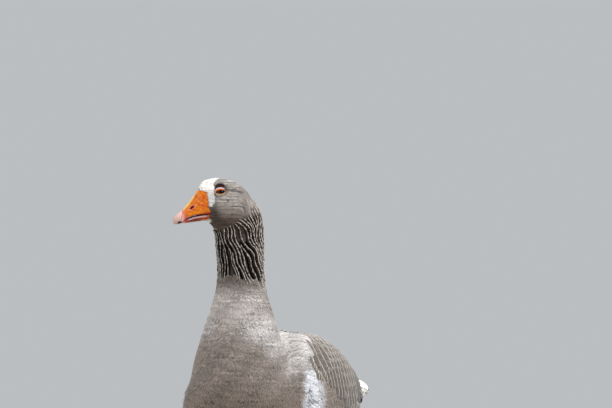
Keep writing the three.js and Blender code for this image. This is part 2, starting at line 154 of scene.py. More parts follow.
soft_light("high_light", (1.7, 0.9, 2.6), 1.6, 115, (1.0, 0.98, 0.95))
soft_light("rim_light", (0.6, -2.2, 2.2), 1.4, 60, (1.0, 0.98, 0.95))
soft_light("fill_light", (-2.6, 1.0, 1.2), 2.0, 48, (1.0, 0.95, 0.9))
bpy.context.scene.view_settings.view_transform = "Standard"
print("one floor, one sky, three lights")

# %% [markdown]
# ## The bird's own directions
# Everything on the head is placed by how far forward, how far left and how high it lies, so the
# head gets a frame of its own, turned with it. The body's frame is tilted a little, breast up.

# %% Frames for head and trunk
HEAD_TURN = math.radians(62)
HEAD_CENTRE = np.array([0.0, -184.5 * MM, 583 * MM])
FORWARD = np.array([-math.sin(HEAD_TURN), -math.cos(HEAD_TURN), 0.0])
LEFT = np.array([math.cos(HEAD_TURN), -math.sin(HEAD_TURN), 0.0])
TRUNK_PITCH = math.radians(6)
TRUNK_CENTRE = np.array([0.0, -51.5 * MM, 268 * MM])
RUMPWARD = np.array([0.0, math.cos(TRUNK_PITCH), -math.sin(TRUNK_PITCH)])
BACKWARD_UP = np.array([0.0, math.sin(TRUNK_PITCH), math.cos(TRUNK_PITCH)])
NECK_AXIS = np.array([0.0, -174.5 * MM])
SIDES = ("left", "right")
OUTWARD = {"left": LEFT, "right": -LEFT}  # on the head


def head_coords(points):
    """Forward, left and up from the head's centre, in millimetres."""
    q = (points - HEAD_CENTRE) / MM
    return q @ FORWARD, q @ LEFT, q[..., 2]


def trunk_coords(points):
    """Along the trunk, sideways, up, in millimetres."""
    q = (points - TRUNK_CENTRE) / MM
    return q @ RUMPWARD, q[..., 0], q @ BACKWARD_UP


def smoothstep(low, high, value):
    """0 up to low, 1 from high on, smooth between; it falls when low is the larger."""
    t = np.clip((value - low) / (high - low), 0.0, 1.0)
    return t * t * (3.0 - 2.0 * t)


def unit(vectors):
    """Vectors of the same directions, one long."""
    return vectors / np.maximum(np.linalg.norm(vectors, axis=-1, keepdims=True), 1e-12)


def eye_centre(side):
    low, high = (np.array(corner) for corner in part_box(f"eye_{side}"))
    return (low + high) / 2


print("left eye, forward/left/up:", [round(float(c), 1) for c in head_coords(eye_centre("left"))])

# %% [markdown]
# ## One skin
# Under its feathers a goose has one skin from the bill to the tail, with no seams. The solids are
# parted where a person would name the parts, so their copies are swelled by half a millimetre until
# they touch, and fused by a voxel remesh: joined by booleans, they would keep every seam. Living skin
# runs on under the horn of the bill, so copies of the bill are fused in too.

# %% Fuse copies of the solids
PAIRED = ("wing_coverts", "wing_tertials", "wing_primaries", "thigh")
FLESH = ["trunk", "neck_lower", "neck_upper", "head", "tail"]
FLESH += [f"{part}_{side}" for side in SIDES for part in PAIRED]
BILL_NODES = ["bill_upper", "bill_lower", "bill_nail"]


def joined_copy(nodes, swell):
    """One bmesh of copies of CAD nodes, each swelled along its normals."""
    whole = bmesh.new()
    for node in nodes:
        part = bmesh.new()
        part.from_mesh(frame["nodes"][node].data)
        part.transform(frame["nodes"][node].matrix_world)
        bmesh.ops.remove_doubles(part, verts=part.verts, dist=1e-6)
        part.normal_update()
        for vert in part.verts:
            vert.co += vert.normal * swell
        mesh = bpy.data.meshes.new("part")
        part.to_mesh(mesh)
        whole.from_mesh(mesh)
        bpy.data.meshes.remove(mesh)
        part.free()
    return whole


def fused(name, nodes, voxel, swell):
    """A new object: the nodes' copies as one voxel-remeshed skin."""
    whole = joined_copy(nodes, swell)
    mesh = bpy.data.meshes.new(name)
    whole.to_mesh(mesh)
    whole.free()
    obj = new_object(name, mesh)
    remesh = obj.modifiers.new("fuse", "REMESH")
    remesh.mode = "VOXEL"
    remesh.voxel_size = voxel
    done = bpy.data.meshes.new_from_object(obj.evaluated_get(bpy.context.evaluated_depsgraph_get()))
    obj.modifiers.clear()
    obj.data = done
    done.name = name
    return obj


skin = fused("skin", FLESH + BILL_NODES, voxel=2.8 * MM, swell=0.5 * MM)
print("skin:", len(skin.data.vertices), "points")

# %% [markdown]
# ## Smoothing the skin
# The solids' flats and the voxels' steps are smoothed away by moving every point towards its
# neighbours, again and again. Head, tail and legs are small and would shrink, so they get fewer rounds.

# %% Relax the skin
def coords_of(mesh):
    """The places of a mesh's vertices, one row each."""
    co = np.empty(len(mesh.vertices) * 3)
    mesh.vertices.foreach_get("co", co)
    return co.reshape(-1, 3)


def set_coords(mesh, co):
    mesh.vertices.foreach_set("co", np.ascontiguousarray(co, dtype=np.float64).ravel())
    mesh.update()


def normals_of(mesh):
    normals = np.empty(len(mesh.vertices) * 3)
    mesh.vertex_normals.foreach_get("vector", normals)
    return normals.reshape(-1, 3)


def neighbour_mean(mesh):
    """A function that gives, for values per vertex, their mean over each vertex's neighbours."""
    edges = np.empty(len(mesh.edges) * 2, dtype=np.int32)
    mesh.edges.foreach_get("vertices", edges)
    a, b = edges.reshape(-1, 2).T
    count = len(mesh.vertices)
    degree = np.maximum(np.bincount(a, minlength=count) + np.bincount(b, minlength=count), 1)
    return lambda values: (np.bincount(a, values[b], count) + np.bincount(b, values[a], count)) / degree


def relax(mesh, rounds, strength):
    """Moves vertices towards the middle of their neighbours, by a share of the way. Strengths per
    vertex say in what share of the rounds each one is moved halfway instead."""
    co = coords_of(mesh)
    mean_around = neighbour_mean(mesh)
    for step in range(rounds):
        middle = np.stack([mean_around(co[:, axis]) for axis in range(3)], axis=1)
        pull = strength if np.isscalar(strength) else (strength > step / rounds)[:, None] * 0.5
        co += (middle - co) * pull
    set_coords(mesh, co)


co = coords_of(skin.data)
head_share = smoothstep(560 * MM, 585 * MM, co[:, 2])
tail_share = smoothstep(200, 235, trunk_coords(co)[0])
low_share = smoothstep(165 * MM, 130 * MM, co[:, 2])
kept_sharp = np.maximum(head_share, np.maximum(tail_share, low_share))
relax(skin.data, 42, np.clip(1.0 - 0.86 * kept_sharp, 0.1, 1.0))
moved = np.linalg.norm(coords_of(skin.data) - co, axis=1) / MM
print(f"relaxing moved the skin by {moved.mean():.1f} mm, at most {moved.max():.1f} mm")

# %% [markdown]
# ## Which part of the bird each point belongs to
# Feathers differ by part: tiny on the face, furrowed on the neck, long on the wing. The nearest
# solid names the part. A search tree over all the solids answers that for any number of points.

# %% Name the part under every point
PARTS = FLESH + BILL_NODES
tree_points, tree_faces, tree_parts = [], [], []
for index, node in enumerate(PARTS):
    mesh = frame["nodes"][node].data
    start = len(tree_points)
    matrix = frame["nodes"][node].matrix_world
    tree_points += [matrix @ v.co for v in mesh.vertices]
    tree_faces += [[start + i for i in p.vertices] for p in mesh.polygons]
    tree_parts += [index] * len(mesh.polygons)
solids_tree = BVHTree.FromPolygons(tree_points, tree_faces)


def parts_at(points):
    """The index in PARTS of the solid nearest to each point."""
    return np.array([tree_parts[solids_tree.find_nearest(p)[2]] for p in points.tolist()])


def is_part(parts, start):
    """Which of the indices stand for a solid whose name starts like this."""
    return np.isin(parts, [i for i, node in enumerate(PARTS) if node.startswith(start)])


parts = parts_at(coords_of(skin.data))
print("skin points:", {name: int(is_part(parts, name).sum()) for name in ("head", "neck", "wing", "tail")})

# %% [markdown]
# ## Room for the coat
# Down and feathers are what gives a goose its outline, so the skin lies inside it: one millimetre
# under the tiny feathers of the face, five under the breast. Where the solid is thin, as at the wing
# tips, the skin gives up no more than a third of the thickness, or it would turn inside out. Past the
# edge where the horn of the bill begins, it is pushed back to a stub that the horn will cover.

# %% Draw the skin in by the depth of its feathers
COAT_DEPTH = {  # mm
    "head": 1.1, "neck_upper": 3.6, "neck_lower": 4.2, "trunk": 5.0, "tail": 3.0, "thigh": 3.0,
    "wing_coverts": 4.0, "wing_tertials": 4.0, "wing_primaries": 3.0, "bill": 2.0,
}
THICKEST = 0.06  # metres; how far thickness is measured through the skin
# Where the horn of the bill begins, from the chin up to the forehead: height and forward, mm.
HORN_EDGE = np.array([
    [-30, 53], [-10, 51.5], [-6.5, 47.5], [-2, 44.6], [3.5, 44.8],
    [9, 48.2], [16, 48.6], [27, 50.2], [35.6, 52], [36.8, 67],
])


def read_off(line, places):
    """What a line, drawn as rows of place and value, says at other places."""
    return np.interp(places, line[:, 0], line[:, 1])


def horn_edge(height):
    return read_off(HORN_EDGE, height)


def spread(mesh, values, rounds):
    """Smooths a value per vertex over the mesh."""
    mean_around = neighbour_mean(mesh)
    for _ in range(rounds):
        values = 0.5 * values + 0.5 * mean_around(values)
    return values


def refine_head(obj, above):
    """Cuts the quads of the face in four, for lids, cheeks and brow."""
    bm = bmesh.new()
    bm.from_mesh(obj.data)
    edges = [e for e in bm.edges if all(v.co.z > above for v in e.verts)]
    bmesh.ops.subdivide_edges(bm, edges=edges, cuts=1, use_grid_fill=True, smooth=0.6)
    bm.to_mesh(obj.data)
    bm.free()


refine_head(skin, 556 * MM)
co, normals = coords_of(skin.data), normals_of(skin.data)
parts = parts_at(co)
depth = np.zeros(len(co))
for name, millimetres in COAT_DEPTH.items():
    depth[is_part(parts, name)] = millimetres * MM
depth = spread(skin.data, depth, 12)
whole_tree = BVHTree.FromPolygons(co.tolist(), [list(p.vertices) for p in skin.data.polygons])
inward = co - normals * 0.4 * MM
hits = [whole_tree.ray_cast(Vector(p), Vector(-n), THICKEST)[3] for p, n in zip(inward.tolist(), normals)]
thickness = np.array([THICKEST if hit is None else hit for hit in hits])
thickness = spread(skin.data, thickness, 4)
skin_depths = np.minimum(depth, thickness * 0.33)
co = co - normals * skin_depths[:, None]
forward, _, height = head_coords(co)
past_edge = np.maximum(forward - np.minimum(horn_edge(height), 56) - 5, 0.0)
past_edge = np.where(co[:, 2] > 550 * MM, past_edge, 0.0)  # only on the head
set_coords(skin.data, co - FORWARD * (past_edge * 0.85)[:, None] * MM)
relax(skin.data, 2, 0.3)
print(f"skin drawn in by {skin_depths.min() / MM:.1f} to {skin_depths.max() / MM:.1f} mm")

# %% [markdown]
# ## Walking on the skin
# Every feather has to start on the skin and follow it. A search tree over the skin finds the nearest
# point of it, and the normal there, averaged from the face's corners so that feathers on neighbouring
# faces don't tilt by turns.

# %% Nearest skin point and smooth normal
skin_faces = [list(p.vertices) for p in skin.data.polygons]
skin_co, skin_normals = coords_of(skin.data), normals_of(skin.data)
skin_tree = BVHTree.FromPolygons(skin_co.tolist(), skin_faces)
face_normals = unit(np.array([skin_normals[f].mean(axis=0) for f in skin_faces]))
print(len(skin_faces), "faces of skin to walk on")


def on_skin(points):
    """The nearest skin point to each point, and the skin's normal there."""
    hits = [skin_tree.find_nearest(p) for p in points.tolist()]
    return np.array([h[0][:] for h in hits]), face_normals[[h[2] for h in hits]]


def flattened(vectors, normals):
    """Vectors turned into the skin's own surface."""
    return unit(vectors - normals * np.sum(vectors * normals, axis=1, keepdims=True))


# %% [markdown]
# ## The lie of the coat
# Feathers point away from the wind: back over the face, down the neck and backwards along the body.
# On the neck of a goose they also sweep a little backwards as they go down. At the shoulder they turn
# about a point high in the neck's back, so the lie is a quarter turn round that point.

# %% Which way feathers point
SHOULDER_PIVOT = np.array([-81.5, 430.0]) * MM  # back, up
# How far the neck has turned towards the head: height in mm, and degrees.
NECK_TURN = np.array([[380, 0], [413, 4], [445, 12], [463, 18], [505, 40], [540, 52], [566, 61], [588, 62]])


def neck_backward(height):
    """The neck's own backward direction at a height, as the neck turns towards the head."""
    turn = np.radians(read_off(NECK_TURN, height / MM))
    return np.stack([np.sin(turn), np.cos(turn), np.zeros_like(turn)], axis=1)


def lie_of_coat(points):
    """The direction in which feathers point, not yet turned into the skin's surface."""
    back = np.maximum(SHOULDER_PIVOT[1] - points[:, 2], 0.0)
    down = np.maximum(SHOULDER_PIVOT[0] - points[:, 1], 0.0)
    body = unit(np.stack([np.zeros_like(back), back + 1e-5, -down - 0.1 * back], axis=1))
    neck = unit(neck_backward(points[:, 2]) * 0.50 - UP)
    neck_share = smoothstep(430 * MM, 480 * MM, points[:, 2])[:, None]
    body = body * (1.0 - neck_share) + neck * neck_share
    forward, _, height = head_coords(points)
    falling = np.maximum(smoothstep(10, -26, forward), smoothstep(-8, -34, height))[:, None]
    face = unit(-FORWARD * (1.0 - 0.8 * falling) - UP * (0.12 + falling))
    face_share = smoothstep(-52, -30, height)[:, None]
    return unit(body * (1.0 - face_share) + face * face_share)


crown_lie = lie_of_coat(np.array([HEAD_CENTRE + UP * 50 * MM]))[0]
print("on the crown, feathers point", [round(float(c), 2) for c in crown_lie])

# %% [markdown]
# ## Markings
# A grey farm goose is brown-grey above and on the neck, paler on the breast and white behind the legs,
# and this one has a white blaze round the root of the bill. The markings are one function of the place
# on the bird, and both skin and feathers ask it, so they always agree. Here are the colours that it
# blends, the blending itself, and a noise of a few waves that keeps every border from being ruled.

# %% The colours of the plumage
def linear(*rgb):
    """An sRGB colour of 0 to 255, as the linear values that shaders use."""
    c = np.array(rgb) / 255.0
    return np.where(c <= 0.04045, c / 12.92, ((c + 0.055) / 1.055) ** 2.4)


BREAST = linear(156, 150, 147)
BIB = linear(110, 100, 94)
PALE_SIDE = linear(172, 169, 169)
WHITE_RIM = linear(188, 186, 187)
WING_BEND = linear(186, 189, 197)
FLANK = linear(98, 88, 81)
LOWER_BREAST = linear(92, 80, 71)
NECK = linear(68, 59, 52)
CHEEK = linear(126, 116, 110)
PALE_CHEEK = linear(154, 148, 143)
LOW_CHEEK_AND_JAW_SHADE = linear(64, 49, 37)
NAPE = linear(138, 130, 125)
CROWN = linear(156, 151, 148)
GAPE = linear(28, 18, 9)
BLAZE = linear(252, 250, 247)
BLAZE_SHADE = linear(212, 209, 208)
EYE_STRIPE = linear(66, 60, 60)
CHIN = linear(214, 206, 194)
THROAT = linear(158, 141, 126)
CREST_HIGHLIGHT = linear(200, 193, 188)
MANTLE = linear(112, 104, 97)
WING = linear(104, 97, 91)
BELLY = linear(176, 169, 163)
VENT = linear(216, 214, 210)
RUMP = linear(104, 103, 104)


def blended(colour, other, share):
    """One colour, or one per point, turned into another by a share per point."""
    return colour * (1.0 - share[:, None]) + other * share[:, None]


def layered(colour, *marks):
    """A colour with marks laid over it one by one, each given as its own colour and its share."""
    for mark, share in marks:
        colour = blended(colour, mark, share)
    return colour


def wander(points, grain, seed):
    """Smooth random values from -1 to 1 over space, as a sum of a few waves."""
    rng = np.random.default_rng(seed)
    total = np.zeros(len(points))
    for _ in range(6):
        wave = unit(rng.normal(size=3)) * (2 * math.pi / grain) * rng.uniform(0.6, 1.6)
        total += np.sin(points @ wave + rng.uniform(0, 2 * math.pi))
    return total / 3.2


print("breast, as the shaders see it:", BREAST.round(3).tolist())

# %% [markdown]
# ## Markings of the head
# The white blaze runs over the forehead and down behind the bill, where it is painted greyer as shade.
# Behind it the face is grey, with a dusky stripe through the eye, a pale cheek, and a dark brown below
# the cheek, partly its own and partly painted shade in the fold where the jaw meets the throat. Each mark
# is a share from 0 to 1, worked out from how far forward and how high the place is.

# %% Colour the head
# The rear border of the blaze: height and forward, mm.
BLAZE_REAR = np.array([
    [-30, 70], [2, 52], [6, 48.7], [11, 42.4], [18, 38.8],
    [27, 38.1], [38, 40.3], [49, 39], [53, 34], [56, 27],
])
# Dark spots round the eye: forward, height and radius in mm, and strength.
EYE_SPOTS = ((40.5, 44.5, 3.4, 0.8), (19, 41.5, 3.2, 0.75), (18, 20.5, 3.0, 0.9))


def blaze_share(forward, height, wobble):
    """How white the place is: the forehead and a band behind the bill."""
    return smoothstep(-0.8, 0.8, forward - read_off(BLAZE_REAR, height) - wobble)


def streaks(points, seed):
    """Smooth random values that are long from front to back and short from top to bottom."""
    forward, side, height = head_coords(points)
    return wander(np.stack([forward * 0.11, side * 0.3, height], axis=1), 3.4, seed)


def strands(points, seed):
    """Smooth random values that are long down and back over the nape, and short across that."""
    forward, side, height = head_coords(points)
    strand = 0.55 * forward + 0.83 * height
    return wander(np.stack([0.83 * forward - 0.55 * height, side * 0.3, -0.12 * strand], axis=1), 4.2, seed)


def head_colour(points):
    """The linear colour of the head's coat at each point."""
    forward, _, height = head_coords(points)
    wobble = 1.3 * wander(points, 9 * MM, 4)
    stripe_height = np.interp(forward, [-14, 6, 20], [31, 35.5, 40])
    stripe = smoothstep(3.8, 1.0, np.abs(height - wobble - stripe_height))
    stripe = stripe * smoothstep(-18, 2, forward) * smoothstep(25, 19, forward)
    colour = layered(
        CHEEK,
        (PALE_CHEEK, smoothstep(2, 24, height) * smoothstep(-16, 4, forward)),
        (CROWN, smoothstep(42, 50, height) * smoothstep(40, 28, forward)),
        (NAPE, smoothstep(2, -22, forward) * smoothstep(-26, 0, height)),
        (GAPE, smoothstep(20, 5, np.hypot(forward - 42, (height + 6) / 1.5)) * 0.9),
        # partly the lower cheek's own brown, partly painted shade in the fold under the jaw
        (LOW_CHEEK_AND_JAW_SHADE, smoothstep(7, -14, height)),
        (EYE_STRIPE, stripe * 0.75),
    )
    for spot_forward, spot_height, radius, strength in EYE_SPOTS:
        spot = smoothstep(radius, radius * 0.35, np.hypot(forward - spot_forward, height - spot_height))
        colour = blended(colour, EYE_STRIPE, spot * strength)
    border_place = np.interp(height, [0, 12, 40], [46, 38, 37])
    border = smoothstep(5, 1, np.abs(forward - border_place - wobble))
    border = border * smoothstep(-2, 4, height) * smoothstep(46, 38, height)
    blaze = blaze_share(forward, height, wobble)
    return layered(
        colour,
        (EYE_STRIPE, border * 0.25),
        (BLAZE, blaze),
        # painted shade: the blaze turns grey below the forehead, behind the bill
        (BLAZE_SHADE, blaze * smoothstep(42, 33, height)),
        (THROAT, smoothstep(1.1, 0.5, np.hypot((forward - 41) / 9, (height + 25) / 3)) * 0.8),
        (CHIN, smoothstep(5.5, 2.5, np.hypot((forward - 48) / 1.3, height + 11))),
    )


crown_colour = head_colour((HEAD_CENTRE + UP * 50 * MM)[None])[0]
print("the crown is coloured", crown_colour.round(3).tolist())

# %% [markdown]
# ## Markings of the body
# Below the neck's brown bib the breast grows paler towards the sides, where a white edge parts it from
# the dusky bend of the wing. Belly and vent are whitish and the rump is grey. The side marks follow
# how far round the bird a place lies, as seen from the camera's bearing.

# %% Colour the body, and the skin first
BREAST_AXIS = -61.5 * MM  # the upright line from which places round the breast are measured


def across_view(x, y):
    """How far to the right of the breast's axis a place is seen, in mm."""
    return (x * math.cos(VIEW_TURN) + (y - BREAST_AXIS) * math.sin(VIEW_TURN)) / MM


def round_side(points):
    """How far round the bird's side a place is, from the breast towards the wing, in mm."""
    return across_view(np.abs(points[:, 0]), points[:, 1])


def shoulder_tuft(points):
    """1 in the middle of the loose feathers between the shoulders, 0 away from them."""
    sideways, back = points[:, 0] / (26 * MM), (points[:, 1] + 22 * MM) / (28 * MM)
    return np.exp(-(sideways**2) - back**2) * (points[:, 2] > 370 * MM)


def plumage_colour(points):
    """The linear colour of the coat at each point."""
    along, _, up = trunk_coords(points)
    height = points[:, 2] / MM
    aside = round_side(points)
    edge = 7 * wander(points, 26 * MM, 16)
    start = np.interp(height, [340, 395], [2, -66])
    beside = smoothstep(start, start + 54, aside + edge) * smoothstep(432, 396, height)
    beside = beside * smoothstep(314, 352, height + edge) * (along < -20)
    rim = beside * smoothstep(6.5, 3, np.abs(aside - 58)) * smoothstep(395, 385, height)
    arch = ((aside - 67) / 15) ** 2 * 7  # how far the lower side's upper border is below its top, mm
    lower_side = smoothstep(338 - arch, 328 - arch, height)
    lower_side = lower_side * smoothstep(240, 274, height + edge) * (along < 70)
    bend = smoothstep(50, 63, aside + 0.6 * edge) * smoothstep(93, 74, aside)
    bend = bend * (0.88 + 0.12 * wander(points, 8 * MM, 15))
    return layered(
        BREAST,
        (BIB, smoothstep(442, 356, height)),
        (LOWER_BREAST, smoothstep(335, 272, height)),
        (PALE_SIDE, beside),
        (WHITE_RIM, rim * 0.8),
        (NECK, smoothstep(442, 480, height)),
        (MANTLE, smoothstep(30, 85, up) * smoothstep(-165, -110, along) * (1 - 0.6 * beside)),
        # painted highlight: the tuft between the shoulders is painted paler, where light catches it
        (PALE_SIDE, smoothstep(0.1, 0.6, shoulder_tuft(points)) * 0.55),
        (FLANK, lower_side * smoothstep(66, 82, aside)),
        (WING_BEND, lower_side * bend),
        (BELLY, smoothstep(-30, -95, up) * smoothstep(-120, 0, along)),
        (RUMP, smoothstep(150, 190, along) * smoothstep(20, 60, up)),
        (VENT, smoothstep(70, 130, along) * smoothstep(20, -40, up)),
        (VENT, smoothstep(188, 204, along)),
        (head_colour(points), smoothstep(540, 556, height)),
    )


def paint(mesh, colours):
    """Stores a colour per vertex."""
    layer = mesh.color_attributes.new("tint", "FLOAT_COLOR", "POINT")
    layer.data.foreach_set("color", np.column_stack([colours, np.ones(len(colours))]).ravel())


forward, _, height = head_coords(skin_co)
under_horn = smoothstep(1.5, 3.0, forward - horn_edge(height)) * (skin_co[:, 2] > 560 * MM)
paint(skin.data, blended(plumage_colour(skin_co) * 0.55, linear(70, 24, 22), under_horn))
print("markings on", len(skin_co), "points of the skin")

# %% [markdown]
# ## One vane
# A feather's vane is a thin curved blade: narrow at the quill, broadest past the middle, round at the
# tip, and a little arched. It could be a picture on a flat card, but a card looks like paper from the
# side, so here each one is a closed blade with its own underside. Its middle line walks over the skin
# along the lie of the coat, and rows of ribs stand across it.

# %% The middle line and the faces of a vane
def walk(roots, lengths, stations, headings):
    """Middle lines over the skin: points, normals and headings, one row per station. They follow the
    headings given, or else the lie of the coat."""
    spot, normal = on_skin(roots)
    heading = flattened(lie_of_coat(spot) if headings is None else headings, normal)
    rows = [(spot, normal, heading)]
    for near, far in zip(stations, stations[1:]):
        spot, normal = on_skin(spot + heading * ((far - near) * lengths)[:, None])
        onward = heading if headings is not None else heading * 0.6 + lie_of_coat(spot) * 0.4
        heading = flattened(onward, normal)
        rows.append((spot, normal, heading))
    return [np.stack(column) for column in zip(*rows)]


def vane_faces(stations, ribs):
    """Corner lists of one closed vane: a root point, rows of ribs, and a tip point."""
    rows = stations - 2
    tip = 1 + rows * ribs
    faces = [(0, 1 + j, 2 + j) for j in range(ribs - 1)] + [(0, ribs, 1)]
    for k in range(rows - 1):
        a, b = 1 + k * ribs, 1 + (k + 1) * ribs
        faces += [(a + j, b + j, b + j + 1, a + j + 1) for j in range(ribs - 1)]
        faces.append((a + ribs - 1, b + ribs - 1, b, a))
    last = 1 + (rows - 1) * ribs
    faces += [(last + j, tip, last + j + 1) for j in range(ribs - 1)] + [(last + ribs - 1, tip, last)]
    under = [ribs - 1] + [ribs - 1 + (k + 1) * ribs for k in range(rows - 1)] + [len(faces) - 1]
    return faces, under


print("a vane of 7 stations and 5 ribs has", len(vane_faces(7, 5)[0]), "faces")

# %% [markdown]
# ## Thousands of vanes as one mesh
# Twenty thousand objects would be slow to handle, and nobody needs to move one feather alone. So the
# vanes of a region are written into one mesh straight from arrays. Each vane keeps two maps: one for
# the barbs, across and along itself, and one that packs all of them side by side for baking.

# %% Write vanes into a mesh
def mesh_of_vanes(name, vertices, stations, ribs, tints, vane_uv, patch_uv):
    """Joins N vanes of the same build, given as an array of N rows of corners."""
    count, corners = vertices.shape[:2]
    faces, under = vane_faces(stations, ribs)
    loops = np.concatenate([np.array(f) for f in faces])
    sizes = np.array([len(f) for f in faces])
    all_loops = (loops[None, :] + (np.arange(count) * corners)[:, None]).ravel()
    totals = np.tile(sizes, count)
    mesh = bpy.data.meshes.new(name)
    mesh.vertices.add(count * corners)
    mesh.vertices.foreach_set("co", vertices.ravel())
    mesh.loops.add(len(all_loops))
    mesh.loops.foreach_set("vertex_index", all_loops.astype(np.int32))
    mesh.polygons.add(len(totals))
    mesh.polygons.foreach_set("loop_start", np.concatenate([[0], np.cumsum(totals)[:-1]]).astype(np.int32))
    mesh.update(calc_edges=True)
    flat = np.zeros(len(faces), dtype=bool)
    flat[under] = True
    sharp = mesh.attributes.new("sharp_face", "BOOLEAN", "FACE")
    sharp.data.foreach_set("value", np.tile(flat, count))
    paint(mesh, tints.reshape(-1, 3))
    for title, values in (("OFBake", patch_uv), ("Vane", vane_uv)):
        layer = mesh.uv_layers.new(name=title)
        layer.data.foreach_set("uv", values.reshape(-1, 2)[all_loops].ravel())
    return new_object(name, mesh)


def unwrap(points):
    """A place on an unrolled skin: round the body or neck, and along it, from 0 to 1."""
    along, side, up = trunk_coords(points)
    trunk_place = np.stack([0.5 + np.arctan2(side, up) / 7.0, 0.05 + (along + 240) / 1300], axis=1)
    q = points / MM
    round_neck = 0.5 + np.arctan2(q[:, 0], q[:, 1] - NECK_AXIS[1] / MM) / 7.0
    neck_place = np.stack([round_neck, 0.5 + (q[:, 2] - 400) / 560], axis=1)
    on_neck = q[:, 2] > 415
    return np.where(on_neck[:, None], neck_place, trunk_place)


print("the crown on the bake map:", unwrap((HEAD_CENTRE + UP * 50 * MM)[None])[0].round(2).tolist())

# %% [markdown]
# ## Laying vanes
# A vane's root sits low and its tip rides high, so each covers the roots of those behind it, like
# shingles on a roof. One function lays them all: what differs from region to region is the outline,
# the length, the width, how far the tips rise, how strongly the vanes arch and how bright they are.
# An outline is a row of places along the vane, from root to tip, each with its share of the width.

# %% Lay vanes on the skin
BLUNT_TIP = ((0.0, 0.0), (0.2, 0.7), (0.5, 0.97), (0.75, 1.0), (0.89, 0.93), (0.96, 0.7), (1.0, 0.0))
PATCH = 0.003  # of the bake map, for each feather


def lay_vanes(name, roots, length, width, rise, arch, tone, outline, root_tone_and_shade, tip_tint=1.0, ribs=5,
              headings=None, spines=None, hug=True, roll=0.03, ease=1.0, crest=None, colours=None):
    """Vanes on the skin. Sizes are per vane, in metres; rise is (root, tip) above the skin, reached early
    with a high ease; tone is the brightness per vane. The colour is that of the markings where the vane
    shows, multiplied towards its root and tip: darker at the root, partly the feather's own darker base and
    partly painted shade under the vanes that overlap it. Hugging vanes bend to the skin across too. A crest
    gives the places of the ribs, from -1 to 1, and their share of the arch."""
    stations, shares = np.array(outline).T
    count = len(roots)
    spots, normals, flows = walk(roots, length, stations, headings) if spines is None else spines
    across = np.cross(normals, flows)
    u = np.linspace(-1.0, 1.0, ribs) if crest is None else np.array(crest)[:, 0]
    bow = 1.0 - u**2 if crest is None else np.array(crest)[:, 1]
    ribs = len(u)
    low, high = rise
    lift = low + (high - low) * (1.0 - (1.0 - stations[:, None]) ** ease)
    half = shares[:, None] * width[None, :] / 2
    side = half[:, :, None] * u  # station, vane, rib
    height = lift[:, :, None] + (np.asarray(arch) * half)[:, :, None] * bow
    tilts = np.random.default_rng(count).uniform(-roll, roll, count)
    height = height + side * tilts[None, :, None]
    base = spots[:, :, None] + across[:, :, None] * side[..., None]
    up = np.broadcast_to(normals[:, :, None], base.shape)
    if hug:
        landed, landed_up = on_skin(base.reshape(-1, 3))
        base, up = landed.reshape(base.shape), landed_up.reshape(base.shape)
    points = base + up * height[..., None]
    middle = points[1:-1].transpose(1, 0, 2, 3).reshape(count, -1, 3)
    root, tip = (points[end, :, ribs // 2][:, None] for end in (0, -1))
    vertices = np.concatenate([root, middle, tip], axis=1)
    t = np.concatenate([[stations[0]], np.repeat(stations[1:-1], ribs), [stations[-1]]])
    v = np.concatenate([[0.0], np.tile(u, len(stations) - 2), [0.0]])
    # darker towards the root: the feather's own darker base, and painted shade where the vanes above cover
    # it
    fade = np.interp(t, [0, 0.5, 0.86, 1.0], [root_tone_and_shade, 0.5 + 0.5 * root_tone_and_shade, 1.0, tip_tint])
    tint = (plumage_colour(spots[-2]) if colours is None else colours) * np.asarray(tone)[..., None]
    tints = tint[:, None, :] * fade[None, :, None]
    place = unwrap(spots[0])
    leaf = np.stack([v * np.interp(t, stations, shares), t * 2 - 1], axis=1) * PATCH / 2
    patch_uv = place[:, None, :] + leaf[None]
    vane_uv = np.tile(np.stack([v * 0.5 + 0.5, t], axis=1), (count, 1, 1))
    return mesh_of_vanes(name, vertices, len(stations), ribs, tints, vane_uv, patch_uv)


def triangles(obj):
    """How many triangles a piece has."""
    return sum(len(p.vertices) - 2 for p in obj.data.polygons)


print("a blunt vane is broadest", max(BLUNT_TIP, key=lambda row: row[1])[0], "of the way to its tip")

# %% [markdown]
# ## Sowing roots
# Feathers grow at even distances, which change slowly over the bird. A ruled grid would show its lines
# on a round body. So random darts are thrown on the skin, and each one that lands keeps a small ellipse
# round it free of others. That gives the even, slightly wandering rows that real plumage has.

# %% Throw darts on the skin
skin_triangles = np.array([[f[0], f[i], f[i + 1]] for f in skin_faces for i in range(1, len(f) - 1)])
triangle_co = skin_co[skin_triangles]
triangle_middle = triangle_co.mean(axis=1)
triangle_part = parts_at(triangle_middle)
DARTS = 6.5  # thrown for each feather that there is room for


def tree_of(points):
    """A tree that finds the points nearest to a place."""
    tree = KDTree(len(points))
    for index, point in enumerate(points.tolist()):
        tree.insert(point, index)
    tree.balance()
    return tree


def cross_of(corner):
    """The normals of triangles, as long as twice their areas."""
    return np.cross(corner[:, 1] - corner[:, 0], corner[:, 2] - corner[:, 0])


triangle_area = np.linalg.norm(cross_of(triangle_co), axis=1) / 2
print(f"skin to sow on: {triangle_area.sum():.3f} square metres")


